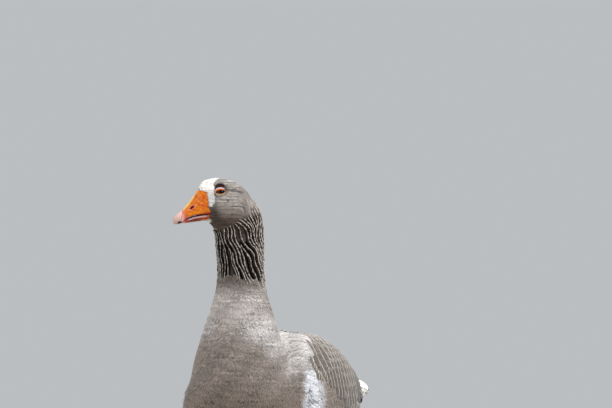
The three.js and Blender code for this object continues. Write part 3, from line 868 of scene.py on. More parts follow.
def sow(wanted, spacing, seed):
    """Roots on the triangles where wanted is true. spacing(points) gives the distances along and across."""
    rng = np.random.default_rng(seed)
    chosen = np.flatnonzero(wanted)
    along, across = spacing(triangle_middle[chosen])
    share = triangle_area[chosen] / (along * across)
    count = int(share.sum() * DARTS)
    picks = chosen[rng.choice(len(chosen), count, p=share / share.sum())]
    a, b = rng.random((2, count, 1))
    fold = a + b > 1
    a, b = np.where(fold, 1 - a, a), np.where(fold, 1 - b, b)
    corner = triangle_co[picks]
    points = corner[:, 0] + a * (corner[:, 1] - corner[:, 0]) + b * (corner[:, 2] - corner[:, 0])
    normals = unit(cross_of(corner))
    heading = flattened(lie_of_coat(points), normals)
    sideways = np.cross(normals, heading)
    along, across = spacing(points)
    tree = tree_of(points)
    taken, free = [], np.ones(count, dtype=bool)
    for i in range(count):
        if not free[i]:
            continue
        taken.append(i)
        near = np.array([hit[1] for hit in tree.find_range(points[i], max(along[i], across[i]))])
        gap = points[near] - points[i]
        inside = (gap @ heading[i] / along[i]) ** 2 + (gap @ sideways[i] / across[i]) ** 2 < 1.0
        free[near[inside]] = False
    return points[taken]


# %% [markdown]
# ## Materials from small parts
# A material is a tree of nodes, and a tree is easier to read when each kind of node is one short
# call. These helpers make a node, set or link its inputs, and hand back the output that is wanted.

# %% Nodes in one line each
def wire(tree, kind, **inputs):
    """A new node with some of its inputs set or linked, by socket name or number."""
    node = tree.nodes.new(kind)
    for key, value in inputs.items():
        if not key.startswith("in_"):
            setattr(node, key, value)
            continue
        label = key[3:].replace("_", " ")
        socket = node.inputs[int(label) if label.isdigit() else label]
        if isinstance(value, bpy.types.NodeSocket):
            tree.links.new(value, socket)
        else:
            socket.default_value = value
    return node


def reckon(tree, operation, a, b=0.0, c=0.0):
    """A sum worked out by the material: an operation on one, two or three numbers."""
    return wire(tree, "ShaderNodeMath", operation=operation, in_0=a, in_1=b, in_2=c).outputs[0]


def ramp(tree, value, low, high):
    """0 below low, 1 above high, smooth between."""
    node = wire(tree, "ShaderNodeMapRange", interpolation_type="SMOOTHSTEP", in_Value=value,
                in_From_Min=low, in_From_Max=high)
    return node.outputs["Result"]


def mixed(tree, share, a, b, blend_type="MIX"):
    """Two colours, blended by a share."""
    node = wire(tree, "ShaderNodeMix", data_type="RGBA", blend_type=blend_type,
                in_0=share, in_6=a, in_7=b)
    return node.outputs[2]


def times(tree, a, b):
    return reckon(tree, "MULTIPLY", a, b)


def scaled(tree, value, by, plus):
    return reckon(tree, "MULTIPLY_ADD", value, by, plus)


def rest_of(tree, value):
    """What is left of 1."""
    return reckon(tree, "SUBTRACT", 1.0, value)


def noise(tree, scale, detail, **more):
    return wire(tree, "ShaderNodeTexNoise", in_Scale=scale, in_Detail=detail, **more).outputs["Fac"]


def tinted_by(tree, colour, shade):
    """A colour made darker or brighter by one number, or by three."""
    red, green, blue = shade if isinstance(shade, tuple) else (shade, shade, shade)
    grey = wire(tree, "ShaderNodeCombineColor", in_0=red, in_1=green, in_2=blue)
    return mixed(tree, 1.0, colour, grey.outputs[0], "MULTIPLY")


def tint_of(tree):
    """The colour painted on the mesh."""
    return wire(tree, "ShaderNodeAttribute", attribute_name="tint").outputs["Color"]


def surface(tree, shader, colour, height, strength, depth):
    """Gives a shader its colour, and a bump of some depth in metres."""
    tree.links.new(colour, shader.inputs["Base Color"])
    bump = wire(tree, "ShaderNodeBump", in_Strength=strength, in_Distance=depth, in_Height=height)
    tree.links.new(bump.outputs[0], shader.inputs["Normal"])


def vane_map(tree):
    """Where on its vane a point is, from 0 to 1: across it, and along it from the root."""
    place = wire(tree, "ShaderNodeUVMap", uv_map="Vane").outputs[0]
    return tuple(wire(tree, "ShaderNodeSeparateXYZ", in_0=place).outputs)[:2]


def moved_by_place(tree, x, y, amount):
    """A place on a pattern, shifted by where in the world the point is, so that no two feathers show the
    same piece of it, and the point's own place."""
    place = wire(tree, "ShaderNodeNewGeometry").outputs["Position"]
    far = wire(tree, "ShaderNodeVectorMath", operation="SCALE", in_0=place, in_Scale=amount)
    start = wire(tree, "ShaderNodeCombineXYZ", in_0=x, in_1=y).outputs[0]
    moved = wire(tree, "ShaderNodeVectorMath", operation="ADD", in_0=start, in_1=far.outputs[0])
    return moved.outputs[0], place


def rounded(obj):
    """Shades a piece smoothly."""
    obj.data.polygons.foreach_set("use_smooth", np.ones(len(obj.data.polygons), dtype=bool))


print("calls for nodes are ready")

# %% [markdown]
# ## What a vane is made of
# Barbs run slantwise from the shaft to the edge. They are far too fine to model on the small feathers,
# so the material draws them: noise that is long along a barb and short across it, in colour and in
# bump. Each vane carries its own map, across and along, which also places the shaft and a pale edge.

# %% Feather materials
def feather_finish(name, barbs, streak, edge=None, edge_share=0.0, edge_start=0.8, edge_sides=1.0,
                   centre_dark=0.0, shaft=None, roughness=0.62):
    """Barbs, an optional pale edge and an optional shaft, over the markings."""
    material, shader = finish_of(name, roughness, Sheen_Weight=0.12, Sheen_Roughness=0.5,
                                 Specular_IOR_Level=0.25)
    tree = material.node_tree
    side, along = vane_map(tree)
    across = reckon(tree, "ABSOLUTE", scaled(tree, side, 2.0, -1.0))
    slant = reckon(tree, "SUBTRACT", along, times(tree, across, 0.24))
    lines, _ = moved_by_place(tree, times(tree, slant, barbs), times(tree, across, 1.3), 9.0)
    barb = noise(tree, 1.0, 3.0, in_Vector=lines, in_Roughness=0.65)
    colour = tinted_by(tree, tint_of(tree), scaled(tree, barb, 2 * streak, 1.0 - streak))
    if centre_dark:
        dark = times(tree, rest_of(tree, ramp(tree, across, 0.1, 0.8)), centre_dark)
        colour = mixed(tree, dark, colour, (0.01, 0.009, 0.008, 1.0))
    if edge is not None:
        rim = reckon(tree, "MAXIMUM", times(tree, across, edge_sides), scaled(tree, along, 2.2, -1.2))
        rim = reckon(tree, "ADD", rim, scaled(tree, barb, 0.2, -0.1))
        share = times(tree, ramp(tree, rim, edge_start, 1.0), edge_share)
        colour = mixed(tree, share, colour, (*edge, 1.0))
    if shaft is not None:
        quill = rest_of(tree, ramp(tree, across, 0.02, 0.07))
        quill = times(tree, quill, rest_of(tree, ramp(tree, along, 0.8, 0.97)))
        colour = mixed(tree, quill, colour, (*shaft, 1.0))
    surface(tree, shader, colour, barb, 0.35, 0.6 * MM)
    return material


def dress(obj, material, replaced=()):
    """Gives a piece its finish and its slot, and lets it ride on the goose."""
    obj.data.materials.clear()
    obj.data.materials.append(material)
    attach(obj, "root")
    if replaced:
        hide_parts(*replaced)
    return obj


small_feather = feather_finish("small_feathers", barbs=9.0, streak=0.2)
breast_feather = feather_finish("breast_feathers", edge=linear(205, 200, 195), edge_share=0.35,
                                edge_start=0.72, barbs=14.0, streak=0.14)
print("a breast feather's finish has", len(breast_feather.node_tree.nodes), "nodes")

# %% [markdown]
# ## Down
# Where feathers part, the grey down of the skin shows between them. Modelled down would be thousands of
# hairs that hardly anyone sees, so a fine grain darkens the skin's own markings instead. The skin now
# takes the place of the fleshy solids.

# %% Give the skin its down
down_material, down_shader = finish_of("skin_down", 0.85, Sheen_Weight=0.2)
down_tree = down_material.node_tree
down_grain = ramp(down_tree, noise(down_tree, 420.0, 4.0), 0.3, 0.7)
down_colour = mixed(down_tree, down_grain, (0.5, 0.48, 0.46, 1.0), (1.0, 1.0, 1.0, 1.0))
down_colour = mixed(down_tree, 1.0, tint_of(down_tree), down_colour, "MULTIPLY")
down_tree.links.new(down_colour, down_shader.inputs["Base Color"])
dress(skin, down_material, FLESH)
rounded(skin)
print("the skin replaces", len(FLESH), "solids")

# %% [markdown]
# ## The face
# The feathers of the face are the smallest of all. They lie so flat and so close that only a
# millimetre or two of each shows, and the face looks like velvet. They are sown like any others, with
# small distances, and stop at the root of the bill and at the bare ring round the eye.

# %% Sow the face
EYE_PLACE = np.array([29.8, 37.0])  # middle of the bare ring, forward and up, mm
EYE_OPENING = (9.6, 10.2)  # half length and half height kept bare
FACE_PITCH = 1.2 * MM  # how much of each feather shows
TINY_TIP = ((0.0, 0.0), (0.22, 0.72), (0.55, 1.0), (0.84, 0.74), (1.0, 0.0))


def bare_round_eye(points):
    """Whether a place lies on the bare ring of either eye."""
    forward, side, height = head_coords(points)
    level, upright = (forward - EYE_PLACE[0]) / EYE_OPENING[0], (height - EYE_PLACE[1]) / EYE_OPENING[1]
    return (level**2 + upright**2 < 1.0) & (np.abs(side) > 10)


def face_scale(points):
    """How big the feathers are: smaller round the eye and the bill than on the nape."""
    forward, _, height = head_coords(points)
    return np.interp(forward, [-30, 0, 45], [1.45, 1.1, 0.9]) * np.interp(height, [-50, -20], [1.3, 1.0])


def face_spacing(points):
    return FACE_PITCH * face_scale(points), 1.1 * MM * face_scale(points)


def room_before_eye(points):
    """How long a feather may be before its tip would lie over the eye, in metres."""
    forward, side, height = head_coords(points)
    level = 1.0 - ((height - EYE_PLACE[1]) / EYE_OPENING[1]) ** 2
    edge = EYE_PLACE[0] + EYE_OPENING[0] * np.sqrt(np.maximum(level, 0.0))
    room = np.where((level > 0) & (forward > EYE_PLACE[0]) & (np.abs(side) > 8), forward - edge + 1.0, 99.0)
    return np.maximum(room, 1.6) * MM


middle_forward, _, middle_height = head_coords(triangle_middle)
in_head = (triangle_middle[:, 2] > 548 * MM) & (middle_forward < horn_edge(middle_height) + 0.8)
face_roots = sow(in_head & ~bare_round_eye(triangle_middle), face_spacing, seed=11)
left_half = head_coords(face_roots)[1] > 0
for name, half in (("face_feathers_left", left_half), ("face_feathers_right", ~left_half)):
    roots = face_roots[half]
    rng = np.random.default_rng(12)
    scale = face_scale(roots)
    forward, _, height = head_coords(roots)
    tone = 1.0 + 0.12 * rng.standard_normal(len(roots)) + 0.13 * wander(roots, 4.5 * MM, 23)
    at_back = smoothstep(10, -10, forward)
    tone = tone + 0.44 * streaks(roots, 21) * (1 - at_back) + 0.6 * strands(roots, 24) * at_back
    tone = tone + 0.16 * wander(roots, 7 * MM, 22) * smoothstep(10, -6, height)
    tone = tone + (1.0 - tone) * 0.7 * blaze_share(forward, height, 0.0)
    length = np.minimum(7.6 * MM * scale, room_before_eye(roots))
    fuller = 0.35 * MM * smoothstep(34, 50, height)  # on the crown and forehead
    rise = fuller + 1.3 * MM * np.minimum(length / (6 * MM), 1.0)
    face = lay_vanes(name, roots, length, 1.9 * MM * scale, (0.1 * MM + fuller, rise), 0.16, tone,
                     outline=TINY_TIP, ribs=3, hug=False, root_tone_and_shade=0.8, ease=1.3, roll=0.06)
    dress(face, small_feather)
    print(name, len(roots), "feathers,", triangles(face), "triangles")

# %% [markdown]
# ## The furrowed neck
# A goose's neck feathers curl their tips together into long ridges with dark grooves between them.
# The ridges follow the lie of the coat, start and end where there is room, and finish in tongues.
# Sown one by one, feathers never line up like that. So the ridge lines are traced over the skin
# first, each stopping when it comes too near another.

# %% Trace the ridge lines
FURROW_TOP = 566 * MM  # under the cheek
FURROW_FOOT = {"front": 484 * MM, "back": 464 * MM}
RIDGE_STEP = 2.0 * MM
MOST_STEPS = 110
SHORTEST_RIDGE = 6  # points


def round_neck(points):
    """How far round the neck a place lies: 0 at the throat, 1 on the nape."""
    outward = unit(points[:, :2] - NECK_AXIS)
    return 0.5 + 0.5 * np.sum(outward * neck_backward(points[:, 2])[:, :2], axis=1)


def ridge_gap(points):
    """How far apart the ridges run: finer at the throat than on the nape."""
    return (4.0 + 1.1 * round_neck(points)) * MM


def furrow_foot(points):
    """How far down the furrows reach, with an uneven hem."""
    hem = FURROW_FOOT["front"] + (FURROW_FOOT["back"] - FURROW_FOOT["front"]) * round_neck(points)
    return hem + 5 * MM * wander(points * [1, 1, 0.2], 16 * MM, 31)


def furrow_top(points):
    """Where the furrows come out from under the cheek."""
    forward, _, _ = head_coords(points)
    higher = np.interp(forward, [-36, -26, -12, 10, 30], [50, 39, 14, 0, -8]) * MM
    return FURROW_TOP + higher + 3 * MM * wander(points, 14 * MM, 32)


def trace(start, others):
    """A ridge line through start, up and down, until the hem, the cheek or another ridge."""
    halves = []
    for sense in (1.0, -1.0):
        point, line = start.copy(), []
        for step in range(MOST_STEPS):
            spot, normal = on_skin(point[None])
            top, foot = furrow_top(spot)[0], furrow_foot(spot)[0]
            if not foot < spot[0, 2] < top:
                break
            crowded = 0.6 * ridge_gap(spot)[0]
            if len(others) and step > 0 and np.min(np.linalg.norm(others - spot[0], axis=1)) < crowded:
                break
            line.append(spot[0])
            sway = 0.30 * wander(spot, 26 * MM, 33)[0] + 0.12 * wander(spot, 9 * MM, 34)[0]
            flow = flattened(lie_of_coat(spot), normal)[0]
            flow = flow + np.cross(normal[0], flow) * sway
            point = spot[0] + flow * sense * RIDGE_STEP
        halves.append(line)
    down, up = halves
    return np.array(up[::-1][:-1] + down)


triangle_height = triangle_middle[:, 2]
neck_like = (triangle_height > 460 * MM) & (triangle_height < 608 * MM) & (middle_forward < 44)
rng = np.random.default_rng(41)
seeds = triangle_middle[np.flatnonzero(neck_like)]
seeds = seeds[rng.permutation(len(seeds))[:3600]]
at_middle = np.abs(seeds[:, 2] - 525 * MM) < 14 * MM  # ridges start halfway up the neck
seeds = seeds[np.argsort(~at_middle, kind="stable")]
gaps = ridge_gap(seeds)
ridges, ridge_points = [], np.empty((0, 3))
for seed, gap in zip(seeds, gaps):
    if len(ridge_points) and np.min(np.linalg.norm(ridge_points - seed, axis=1)) < gap * 0.94:
        continue
    ridge = trace(seed, ridge_points)
    if len(ridge) < SHORTEST_RIDGE:
        continue
    ridges.append(ridge)
    ridge_points = np.concatenate([ridge_points, ridge])
print(len(ridges), "ridges, longest", round(max(len(r) for r in ridges) * RIDGE_STEP / MM), "mm")

# %% [markdown]
# ## What a lock looks like
# A lock is several feather tips stuck together along one edge. Its crest is painted pale, as a
# highlight, its face is brown and barbed, and the groove beside it is painted nearly black, as shade. The
# lock's own map places all three across it, and a coarser noise leaves some patches of the neck duller
# than others.

# %% The finish of the locks
def lock_finish(name):
    """A lock of the neck: painted shade, nearly black, in the groove on either side, a barbed brown face
    and a painted highlight on the crest.
    """
    material, shader = finish_of(name, 0.8, Specular_IOR_Level=0.1)
    tree = material.node_tree
    side, along = vane_map(tree)
    slant = reckon(tree, "SUBTRACT", times(tree, along, 13.0), times(tree, side, 5.0))
    lines, place = moved_by_place(tree, slant, times(tree, side, 0.8), 60.0)
    barb = noise(tree, 1.2, 3.0, in_Vector=lines, in_Roughness=0.7)
    jitter = noise(tree, 420.0, 2.0, in_Vector=place)
    across = reckon(tree, "ADD", side, scaled(tree, jitter, 0.16, -0.08))
    # painted shade: outside the lock's face, in its grooves, the colour turns nearly black
    face = times(tree, ramp(tree, across, 0.24, 0.5), rest_of(tree, ramp(tree, across, 0.82, 0.95)))
    shade = scaled(tree, face, scaled(tree, barb, 1.0, 0.2), 0.02)
    browner = (shade, times(tree, shade, 0.93), times(tree, shade, 0.86))
    colour = tinted_by(tree, tint_of(tree), browner)
    # painted highlight: a pale line along the lock's crest
    crest = times(tree, ramp(tree, across, 0.6, 0.68), rest_of(tree, ramp(tree, across, 0.74, 0.82)))
    crest = times(tree, crest, scaled(tree, barb, 1.5, -0.05))
    colour = mixed(tree, crest, colour, (*CREST_HIGHLIGHT, 1.0))
    patches = noise(tree, 260.0, 1.0, in_Vector=place)
    colour = tinted_by(tree, colour, scaled(tree, ramp(tree, patches, 0.38, 0.52), 0.66, 0.34))
    surface(tree, shader, colour, barb, 0.5, 0.6 * MM)
    return material


neck_feather = lock_finish("neck_locks")
print("a lock's finish has", len(neck_feather.node_tree.nodes), "nodes")

# %% [markdown]
# ## Locks along the ridges
# Each ridge is a row of narrow, strongly arched locks, one over the next. Their middle lines are cut
# out of the ridge line itself, with small random differences in length and place, so that the ridge
# reads as one strand and still ends in single tongues.

# %% Lay the locks along the ridges
LOCK_OUTLINE = ((0.0, 0.0), (0.1, 0.6), (0.3, 0.95), (0.52, 1.0),
                (0.72, 0.92), (0.86, 0.72), (0.95, 0.42), (1.0, 0.0))
LOCK_CREST = ((-1.0, 0.0), (-0.75, 0.1), (-0.3, 0.4), (0.15, 0.8), (0.45, 1.0), (0.7, 0.75), (1.0, 0.0))
LOCK_LENGTH = 17 * MM
LOCK_PITCH = 4.0 * MM
lock_stations = np.array(LOCK_OUTLINE)[:, 0]


def carried_on(ridge, steps):
    """A ridge line's points, normals and headings, run on past its foot by some steps."""
    spot, normal = on_skin(ridge)
    heading = unit(np.gradient(spot, axis=0))
    for _ in range(steps):
        ahead, ahead_normal = on_skin(spot[-1:] + heading[-1:] * RIDGE_STEP)
        spot, normal = np.concatenate([spot, ahead]), np.concatenate([normal, ahead_normal])
        heading = np.concatenate([heading, flattened(heading[-1:], ahead_normal)])
    return spot, normal, heading


def read_rows(at, reach, rows):
    """Rows of three numbers along a line, read at other places of it."""
    return np.stack([np.interp(at, reach, rows[:, axis]) for axis in range(3)], axis=1)


lines = []
for ridge in ridges:
    columns = carried_on(ridge, 6)
    reach = np.concatenate([[0.0], np.cumsum(np.linalg.norm(np.diff(columns[0], axis=0), axis=1))])
    starts = np.arange(-0.6 * LOCK_LENGTH, reach[-1] - LOCK_LENGTH * 0.8, LOCK_PITCH)
    starts = starts + rng.uniform(0, 2 * MM)
    for begin in starts:
        at = np.clip(begin + lock_stations * LOCK_LENGTH * rng.uniform(0.9, 1.12), 0.0, reach[-1])
        at = at + np.arange(len(at)) * 1e-6
        aside = rng.normal() * 0.35 * MM * lock_stations[:, None]
        place, over, ahead = (read_rows(at, reach, column) for column in columns)
        lines.append([place + np.cross(over, ahead) * aside, over, ahead])
lock_spots, lock_normals, lock_headings = (np.stack(column, axis=1) for column in zip(*lines))
lock_normals = unit(lock_normals)
leaning = np.sum(lock_headings * lock_normals, axis=2, keepdims=True)
lock_headings = unit(lock_headings - lock_normals * leaning)
lock_roots = lock_spots[-1]
tone = 1.0 + 0.10 * rng.standard_normal(len(lock_roots))
width = ridge_gap(lock_roots) * 1.6 * (1 + 0.08 * rng.standard_normal(len(lock_roots)))
near_head = smoothstep(550 * MM, 578 * MM, lock_roots[:, 2])  # where the ridges flatten
locks = lay_vanes("neck_locks", lock_roots, np.full(len(lock_roots), LOCK_LENGTH), width,
                  (-0.7 * MM, 0.7 * MM), 1.1 - 0.65 * near_head, tone, outline=LOCK_OUTLINE,
                  crest=LOCK_CREST, spines=(lock_spots, lock_normals, lock_headings), hug=False,
                  root_tone_and_shade=0.85, tip_tint=1.1)
dress(locks, neck_feather)
print("neck:", len(lock_roots), "locks,", triangles(locks), "triangles")

# %% [markdown]
# ## Breast, belly and back
# Body feathers overlap so deeply that only the last few millimetres of each show, as fine ripples on
# the breast, and as broader scales on the flanks, back and thighs. They are sown everywhere below the
# furrows except where the long feathers of wing and tail grow.

# %% Sow the body
def body_pitch(points):
    """How much of each feather shows, in mm."""
    along = trunk_coords(points)[0]
    height = points[:, 2] / MM
    pitch = np.interp(along, [-230, -60, 10, 120, 230], [3.0, 3.4, 5.2, 6.6, 5.5])
    pitch = pitch * np.interp(height, [400, 470], [1.0, 0.85])
    return pitch * np.interp(height, [95, 170], [0.45, 1.0])


def body_width(points):
    """How broad each feather is, in mm: on the breast they join into long ripples."""
    along = trunk_coords(points)[0]
    return body_pitch(points) * np.interp(along, [-60, 40], [2.1, 2.6])


def body_spacing(points):
    return body_pitch(points) * 0.98 * MM, body_width(points) * 0.44 * MM


def ripples(points, seed):
    """Smooth random values that are long across the breast and short down it."""
    return wander(points * [0.09, 0.09, 1.0], 5.6 * MM, seed)


# The soft feathers of the flank lie over the front of the folded wing, up to this line: place along
# the trunk in mm, and turn from the top of the back in degrees.
FLANK_LINE = np.array([[-118, 48], [-64, 58], [-5, 71], [40, 90], [80, 104]])
triangle_along, triangle_side, triangle_up = trunk_coords(triangle_middle)
triangle_turn = np.degrees(np.arctan2(np.abs(triangle_side), triangle_up))
over_wing = (triangle_turn > read_off(FLANK_LINE, triangle_along) + 3) & (triangle_along < 75)
over_wing |= (round_side(triangle_middle) < 61) & (triangle_along < 20)
wing_part = is_part(triangle_part, "wing") & ~over_wing
tail_part = is_part(triangle_part, "tail")
above_hem = triangle_height > furrow_foot(triangle_middle) + 4 * MM
body_part = ~wing_part & ~tail_part & ~above_hem & (triangle_height < 540 * MM)
body_roots = sow(body_part, body_spacing, seed=51)
print("body:", len(body_roots), "feathers")

# %% [markdown]
# ## Laying the body feathers
# Their tips ride as high above the skin as the skin was drawn in, so the feathered goose is as big as
# the plain one. Two places are fuller: the loose tuft between the shoulders, and the bend of each wing,
# where the feathers of the flank are pushed up. The breast's ripples come from a tone that changes
# quickly down the breast and slowly across it.

# %% Lay the body feathers
BODY_TIP = ((0.0, 0.0), (0.25, 0.75), (0.62, 1.0), (0.88, 0.74), (1.0, 0.0))
depth_tree = tree_of(skin_co)


def skin_depth(points):
    """How far the skin was drawn in, near each point."""
    return skin_depths[[depth_tree.find(p)[1] for p in points.tolist()]]


def fullness(points):
    """How much higher feathers stand in the shoulders' tuft, over the bends of the wings and beside the
    small parting at the foot of the neck, in metres."""
    height, aside = points[:, 2] / MM, round_side(points)
    bend = smoothstep(55, 66, aside) * smoothstep(86, 74, aside)
    bend = bend * smoothstep(225, 260, height) * smoothstep(325, 300, height)
    across = across_view(points[:, 0], points[:, 1])
    parting = smoothstep(8, 0, np.hypot(across + 39, (height - 413) * 0.8))
    parting = parting * (points[:, 1] < -60 * MM)  # in front only
    return (15 * shoulder_tuft(points) + 3.5 * bend + 1.4 * parting) * MM


def body_feathers(name, roots, seed):
    """One piece of the coat, from its roots."""
    rng = np.random.default_rng(seed)
    pitch = body_pitch(roots) * MM
    tone = 1.0 + 0.05 * rng.standard_normal(len(roots)) + 0.03 * wander(roots, 30 * MM, 52)
    tone = tone + 0.34 * ripples(roots, 53)
    depth = skin_depth(roots) - 0.6 * MM + fullness(roots)
    width = body_width(roots) * MM * (1 + 0.12 * rng.standard_normal(len(roots)))
    low = depth - pitch * 0.42 - 0.4 * fullness(roots)
    feathers = lay_vanes(name, roots, pitch * 4.4, width, (low, depth), 0.06, tone, outline=BODY_TIP,
                         root_tone_and_shade=0.9, tip_tint=1.05, ease=1.4, roll=0.05, hug=False)
    print(name, triangles(feathers), "triangles")
    return dress(feathers, breast_feather)


along_body = trunk_coords(body_roots)[0]
order = np.argsort(along_body)
names = ("breast_feathers", "shoulder_feathers", "belly_feathers", "flank_feathers", "rump_feathers")
for index, (name, share) in enumerate(zip(names, np.array_split(order, len(names)))):
    body_feathers(name, body_roots[share], 60 + index)

# %% [markdown]
# ## Flat feathers under the wing and tail
# What the long feathers leave open, below the wing, behind it and beside the tail, shows short flat
# ones. Without them bare skin would look out there, so the same feathers are sown again and laid low.

# %% Lay the flat feathers
open_part = (wing_part & ((triangle_turn > 62) | (triangle_along > 50))) | tail_part
flat_roots = sow(open_part, body_spacing, seed=57)
flat_pitch = body_pitch(flat_roots) * MM
flat_tone = 0.85 + 0.06 * np.random.default_rng(58).standard_normal(len(flat_roots))
flat_width = body_width(flat_roots) * MM * 1.1
flat = lay_vanes("flat_feathers", flat_roots, flat_pitch * 3.2, flat_width, (-0.2 * MM, 0.9 * MM), 0.05,
                 flat_tone, outline=BODY_TIP, hug=False, root_tone_and_shade=0.8)
dress(flat, breast_feather)
print(len(flat_roots), "flat feathers")

# %% [markdown]
# ## Folded wings
# A folded wing shows scales that grow from the bend backwards: coverts in front, scapulars above
# them, then the long tertials that lie over the back like a cloak, the secondaries below, and the dark
# tips of the primaries behind. Each has a pale edge. A real wing has bones to unfold it; this one stays
# folded, so each long feather is simply placed by a root and a tip, given along the trunk and round it.

# %% The long feathers of the wings
def round_trunk(side, along, turn):
    """Skin points at distances along the trunk (mm) and turns from the top of the back (degrees)."""
    spots = []
    for a, degrees in zip(along.tolist(), turn.tolist()):
        lean = math.radians(degrees) * (1 if side == "left" else -1)
        outward = math.sin(lean) * np.array([1.0, 0, 0]) + math.cos(lean) * BACKWARD_UP
        axis = TRUNK_CENTRE + RUMPWARD * a * MM
        hit = skin_tree.ray_cast(Vector(axis + outward * 0.3), Vector(-outward), 0.26)[0]
        spots.append((hit or skin_tree.find_nearest(Vector(axis + outward * 0.09))[0])[:])
    return np.array(spots)


def long_feathers(side, rows):
    """Roots, headings, lengths and widths. A row gives the root's place along the trunk and its turn,
    the tip's place and turn, and the width."""
    table = np.array(rows, dtype=float)
    roots = round_trunk(side, table[:, 0], table[:, 1])
    tips = round_trunk(side, table[:, 2], table[:, 3])
    return roots, unit(tips - roots), np.linalg.norm(tips - roots, axis=1), table[:, 4] * MM


LONG_OUTLINE = ((0.0, 0.0), (0.06, 0.4), (0.2, 0.8), (0.42, 0.97), (0.65, 1.0),
                (0.8, 0.96), (0.9, 0.8), (0.965, 0.5), (1.0, 0.0))
BUFF = linear(220, 210, 197)
wing_feather = feather_finish("wing_feathers", edge=BUFF, edge_share=0.9, edge_start=0.77,
                              edge_sides=0.8, centre_dark=0.4, barbs=34.0, streak=0.2)
cloak_feather = feather_finish("cloak_feathers", edge=BUFF, edge_share=0.9, edge_start=0.9,
                               centre_dark=0.4, shaft=linear(60, 54, 50), barbs=70.0, streak=0.22)
flight_feather = feather_finish("flight_feathers", edge=linear(150, 146, 140), edge_share=0.8,
                                edge_start=0.93, centre_dark=0.2, shaft=linear(205, 198, 188),
                                barbs=90.0, streak=0.2, roughness=0.5)

for side in SIDES:
    primaries = [(96 + 7 * i, 62 - 2.5 * i, 196 + 13.2 * i, 60 - 2.2 * i, 17) for i in range(6)]
    secondaries = [(-20 + 17 * i, 92 - 2 * i, 62 + 21 * i, 108 - 5.5 * i, 21) for i in range(7)]
    tertials = [(46 + 13 * i, 64 - 8.5 * i, 166 + 14 * i, 62 - 8 * i, 36 - i) for i in range(6)]
    rng = np.random.default_rng(70 + SIDES.index(side))
    for name, rows, rise, finish, slot, tone in (
        ("primaries", primaries, (0.3, 9.5), flight_feather, "flight_feathers", 0.2),
        ("secondaries", secondaries, (0.4, 2.8), cloak_feather, "wing_plumage", 0.9),
        ("tertials", tertials, (0.8, 4.2), cloak_feather, "wing_plumage", 1.0),
    ):
        roots, headings, length, width = long_feathers(side, rows)
        tone = tone * (1 + 0.08 * rng.standard_normal(len(roots)))
        # partly the wing's own dark feathers, partly painted shade of the gap between wing and tail
        if name == "tertials":  # the lowest are the darkest
            tone = tone * np.interp(np.arange(len(roots)), [0, 2.5], [0.3, 1.0])
        extra = np.linspace(0, 1.2, len(roots)) * MM  # each lies a little over the one before
        low, high = (reach * MM + extra for reach in rise)
        vanes = lay_vanes(f"{name}_{side}", roots, length, width, (low, high), 0.1, tone,
                          outline=LONG_OUTLINE, ribs=9, headings=headings, root_tone_and_shade=0.8, colours=WING)
        dress(vanes, finish)
        print(vanes.name, len(roots), "feathers")

# %% [markdown]
# ## Coverts and scapulars
# The scales of the wing grow larger from its bend backwards and stand in slanting rows, each row half a
# feather out of step with the last, like tiles. Darts would lose that order, so these are counted out
# row by row, with a little random play.

# %% Lay the coverts and scapulars in rows
# Upper and lower edge of the folded wing, in degrees from the top of the back, by place along the trunk.
WING_TOP = np.array([[-112, 62], [-98, 44], [-60, 27], [-5, 15], [60, 9], [120, 7]])
WING_FOOT = np.array([[-112, 90], [-98, 106], [-60, 116], [-5, 119], [60, 114], [120, 105]])
TRUNK_RADIUS = 108.0  # mm, where a feather's width is turned into degrees
SLANT = 248  # mm; how far the lower feathers of a row lie farther forward


def covert_width(pitch):
    return np.clip(pitch * 2.3, 20.0, 38.0)


def covert_rows(side, seed):
    """Roots in rows across the wing, half a feather out of step from row to row, with each one's pitch."""
    rng = np.random.default_rng(seed)
    row, step, roots, pitches = -150.0, 0, [], []
    while row < 160:
        pitch = np.interp(row, [-94, -40, 20, 80, 130], [7.0, 9.0, 12.0, 15.0, 18.0])
        apart = math.degrees(covert_width(pitch) * 0.55 / TRUNK_RADIUS)
        turns = np.arange(4 + (step % 2) * apart / 2, 122, apart)
        turns = turns + rng.normal(size=len(turns)) * apart * 0.07
        along = row - SLANT * (np.sin(np.radians(turns)) - 0.819)
        along = along + rng.normal(size=len(turns)) * pitch * 0.08
        flank = read_off(FLANK_LINE, along) + 10
        rear = np.interp(along, [-10, 20, 60, 100, 110], [125, 100, 72, 40, 34])
        lowest = np.minimum(np.minimum(read_off(WING_FOOT, along + pitch), flank), rear)
        kept = (turns > read_off(WING_TOP, along + pitch) - 4) & (turns < lowest)
        kept &= (along > -112) & (along < 110)
        if kept.any():
            spots = round_trunk(side, along[kept], turns[kept])
            spots = spots[round_side(spots) > 51]
            roots.append(spots)
            pitches.append(np.full(len(spots), pitch))
        row += pitch
        step += 1
    return np.concatenate(roots), np.concatenate(pitches)


for side in SIDES:
    roots, pitch = covert_rows(side, 80 + SIDES.index(side))
    pitch = pitch * MM
    rng = np.random.default_rng(90 + SIDES.index(side))
    tone = 1.0 + 0.06 * rng.standard_normal(len(roots))
    tone = tone * np.interp(roots[:, 2] / MM, [285, 345], [0.6, 1.0])
    rise = (0.2 * MM, 3.6 * MM + pitch * 0.08)
    coverts = lay_vanes(f"coverts_{side}", roots, pitch * 3.0, covert_width(pitch / MM) * MM, rise, 0.05,
                        tone, outline=BLUNT_TIP, ribs=7, root_tone_and_shade=0.7, colours=WING, roll=0.01)
    dress(coverts, wing_feather)
    print(f"wing_{side}:", len(roots), "coverts and scapulars")

# %% [markdown]
# ## The tail
# Stiff feathers lie fanned one over the other, brown-grey in the middle and whiter towards the sides,
# with white edges, the middle pair on top. White coverts hide their roots above and below. The fan is
# worked out on a flat plan, and each root and tip is then dropped onto the skin.

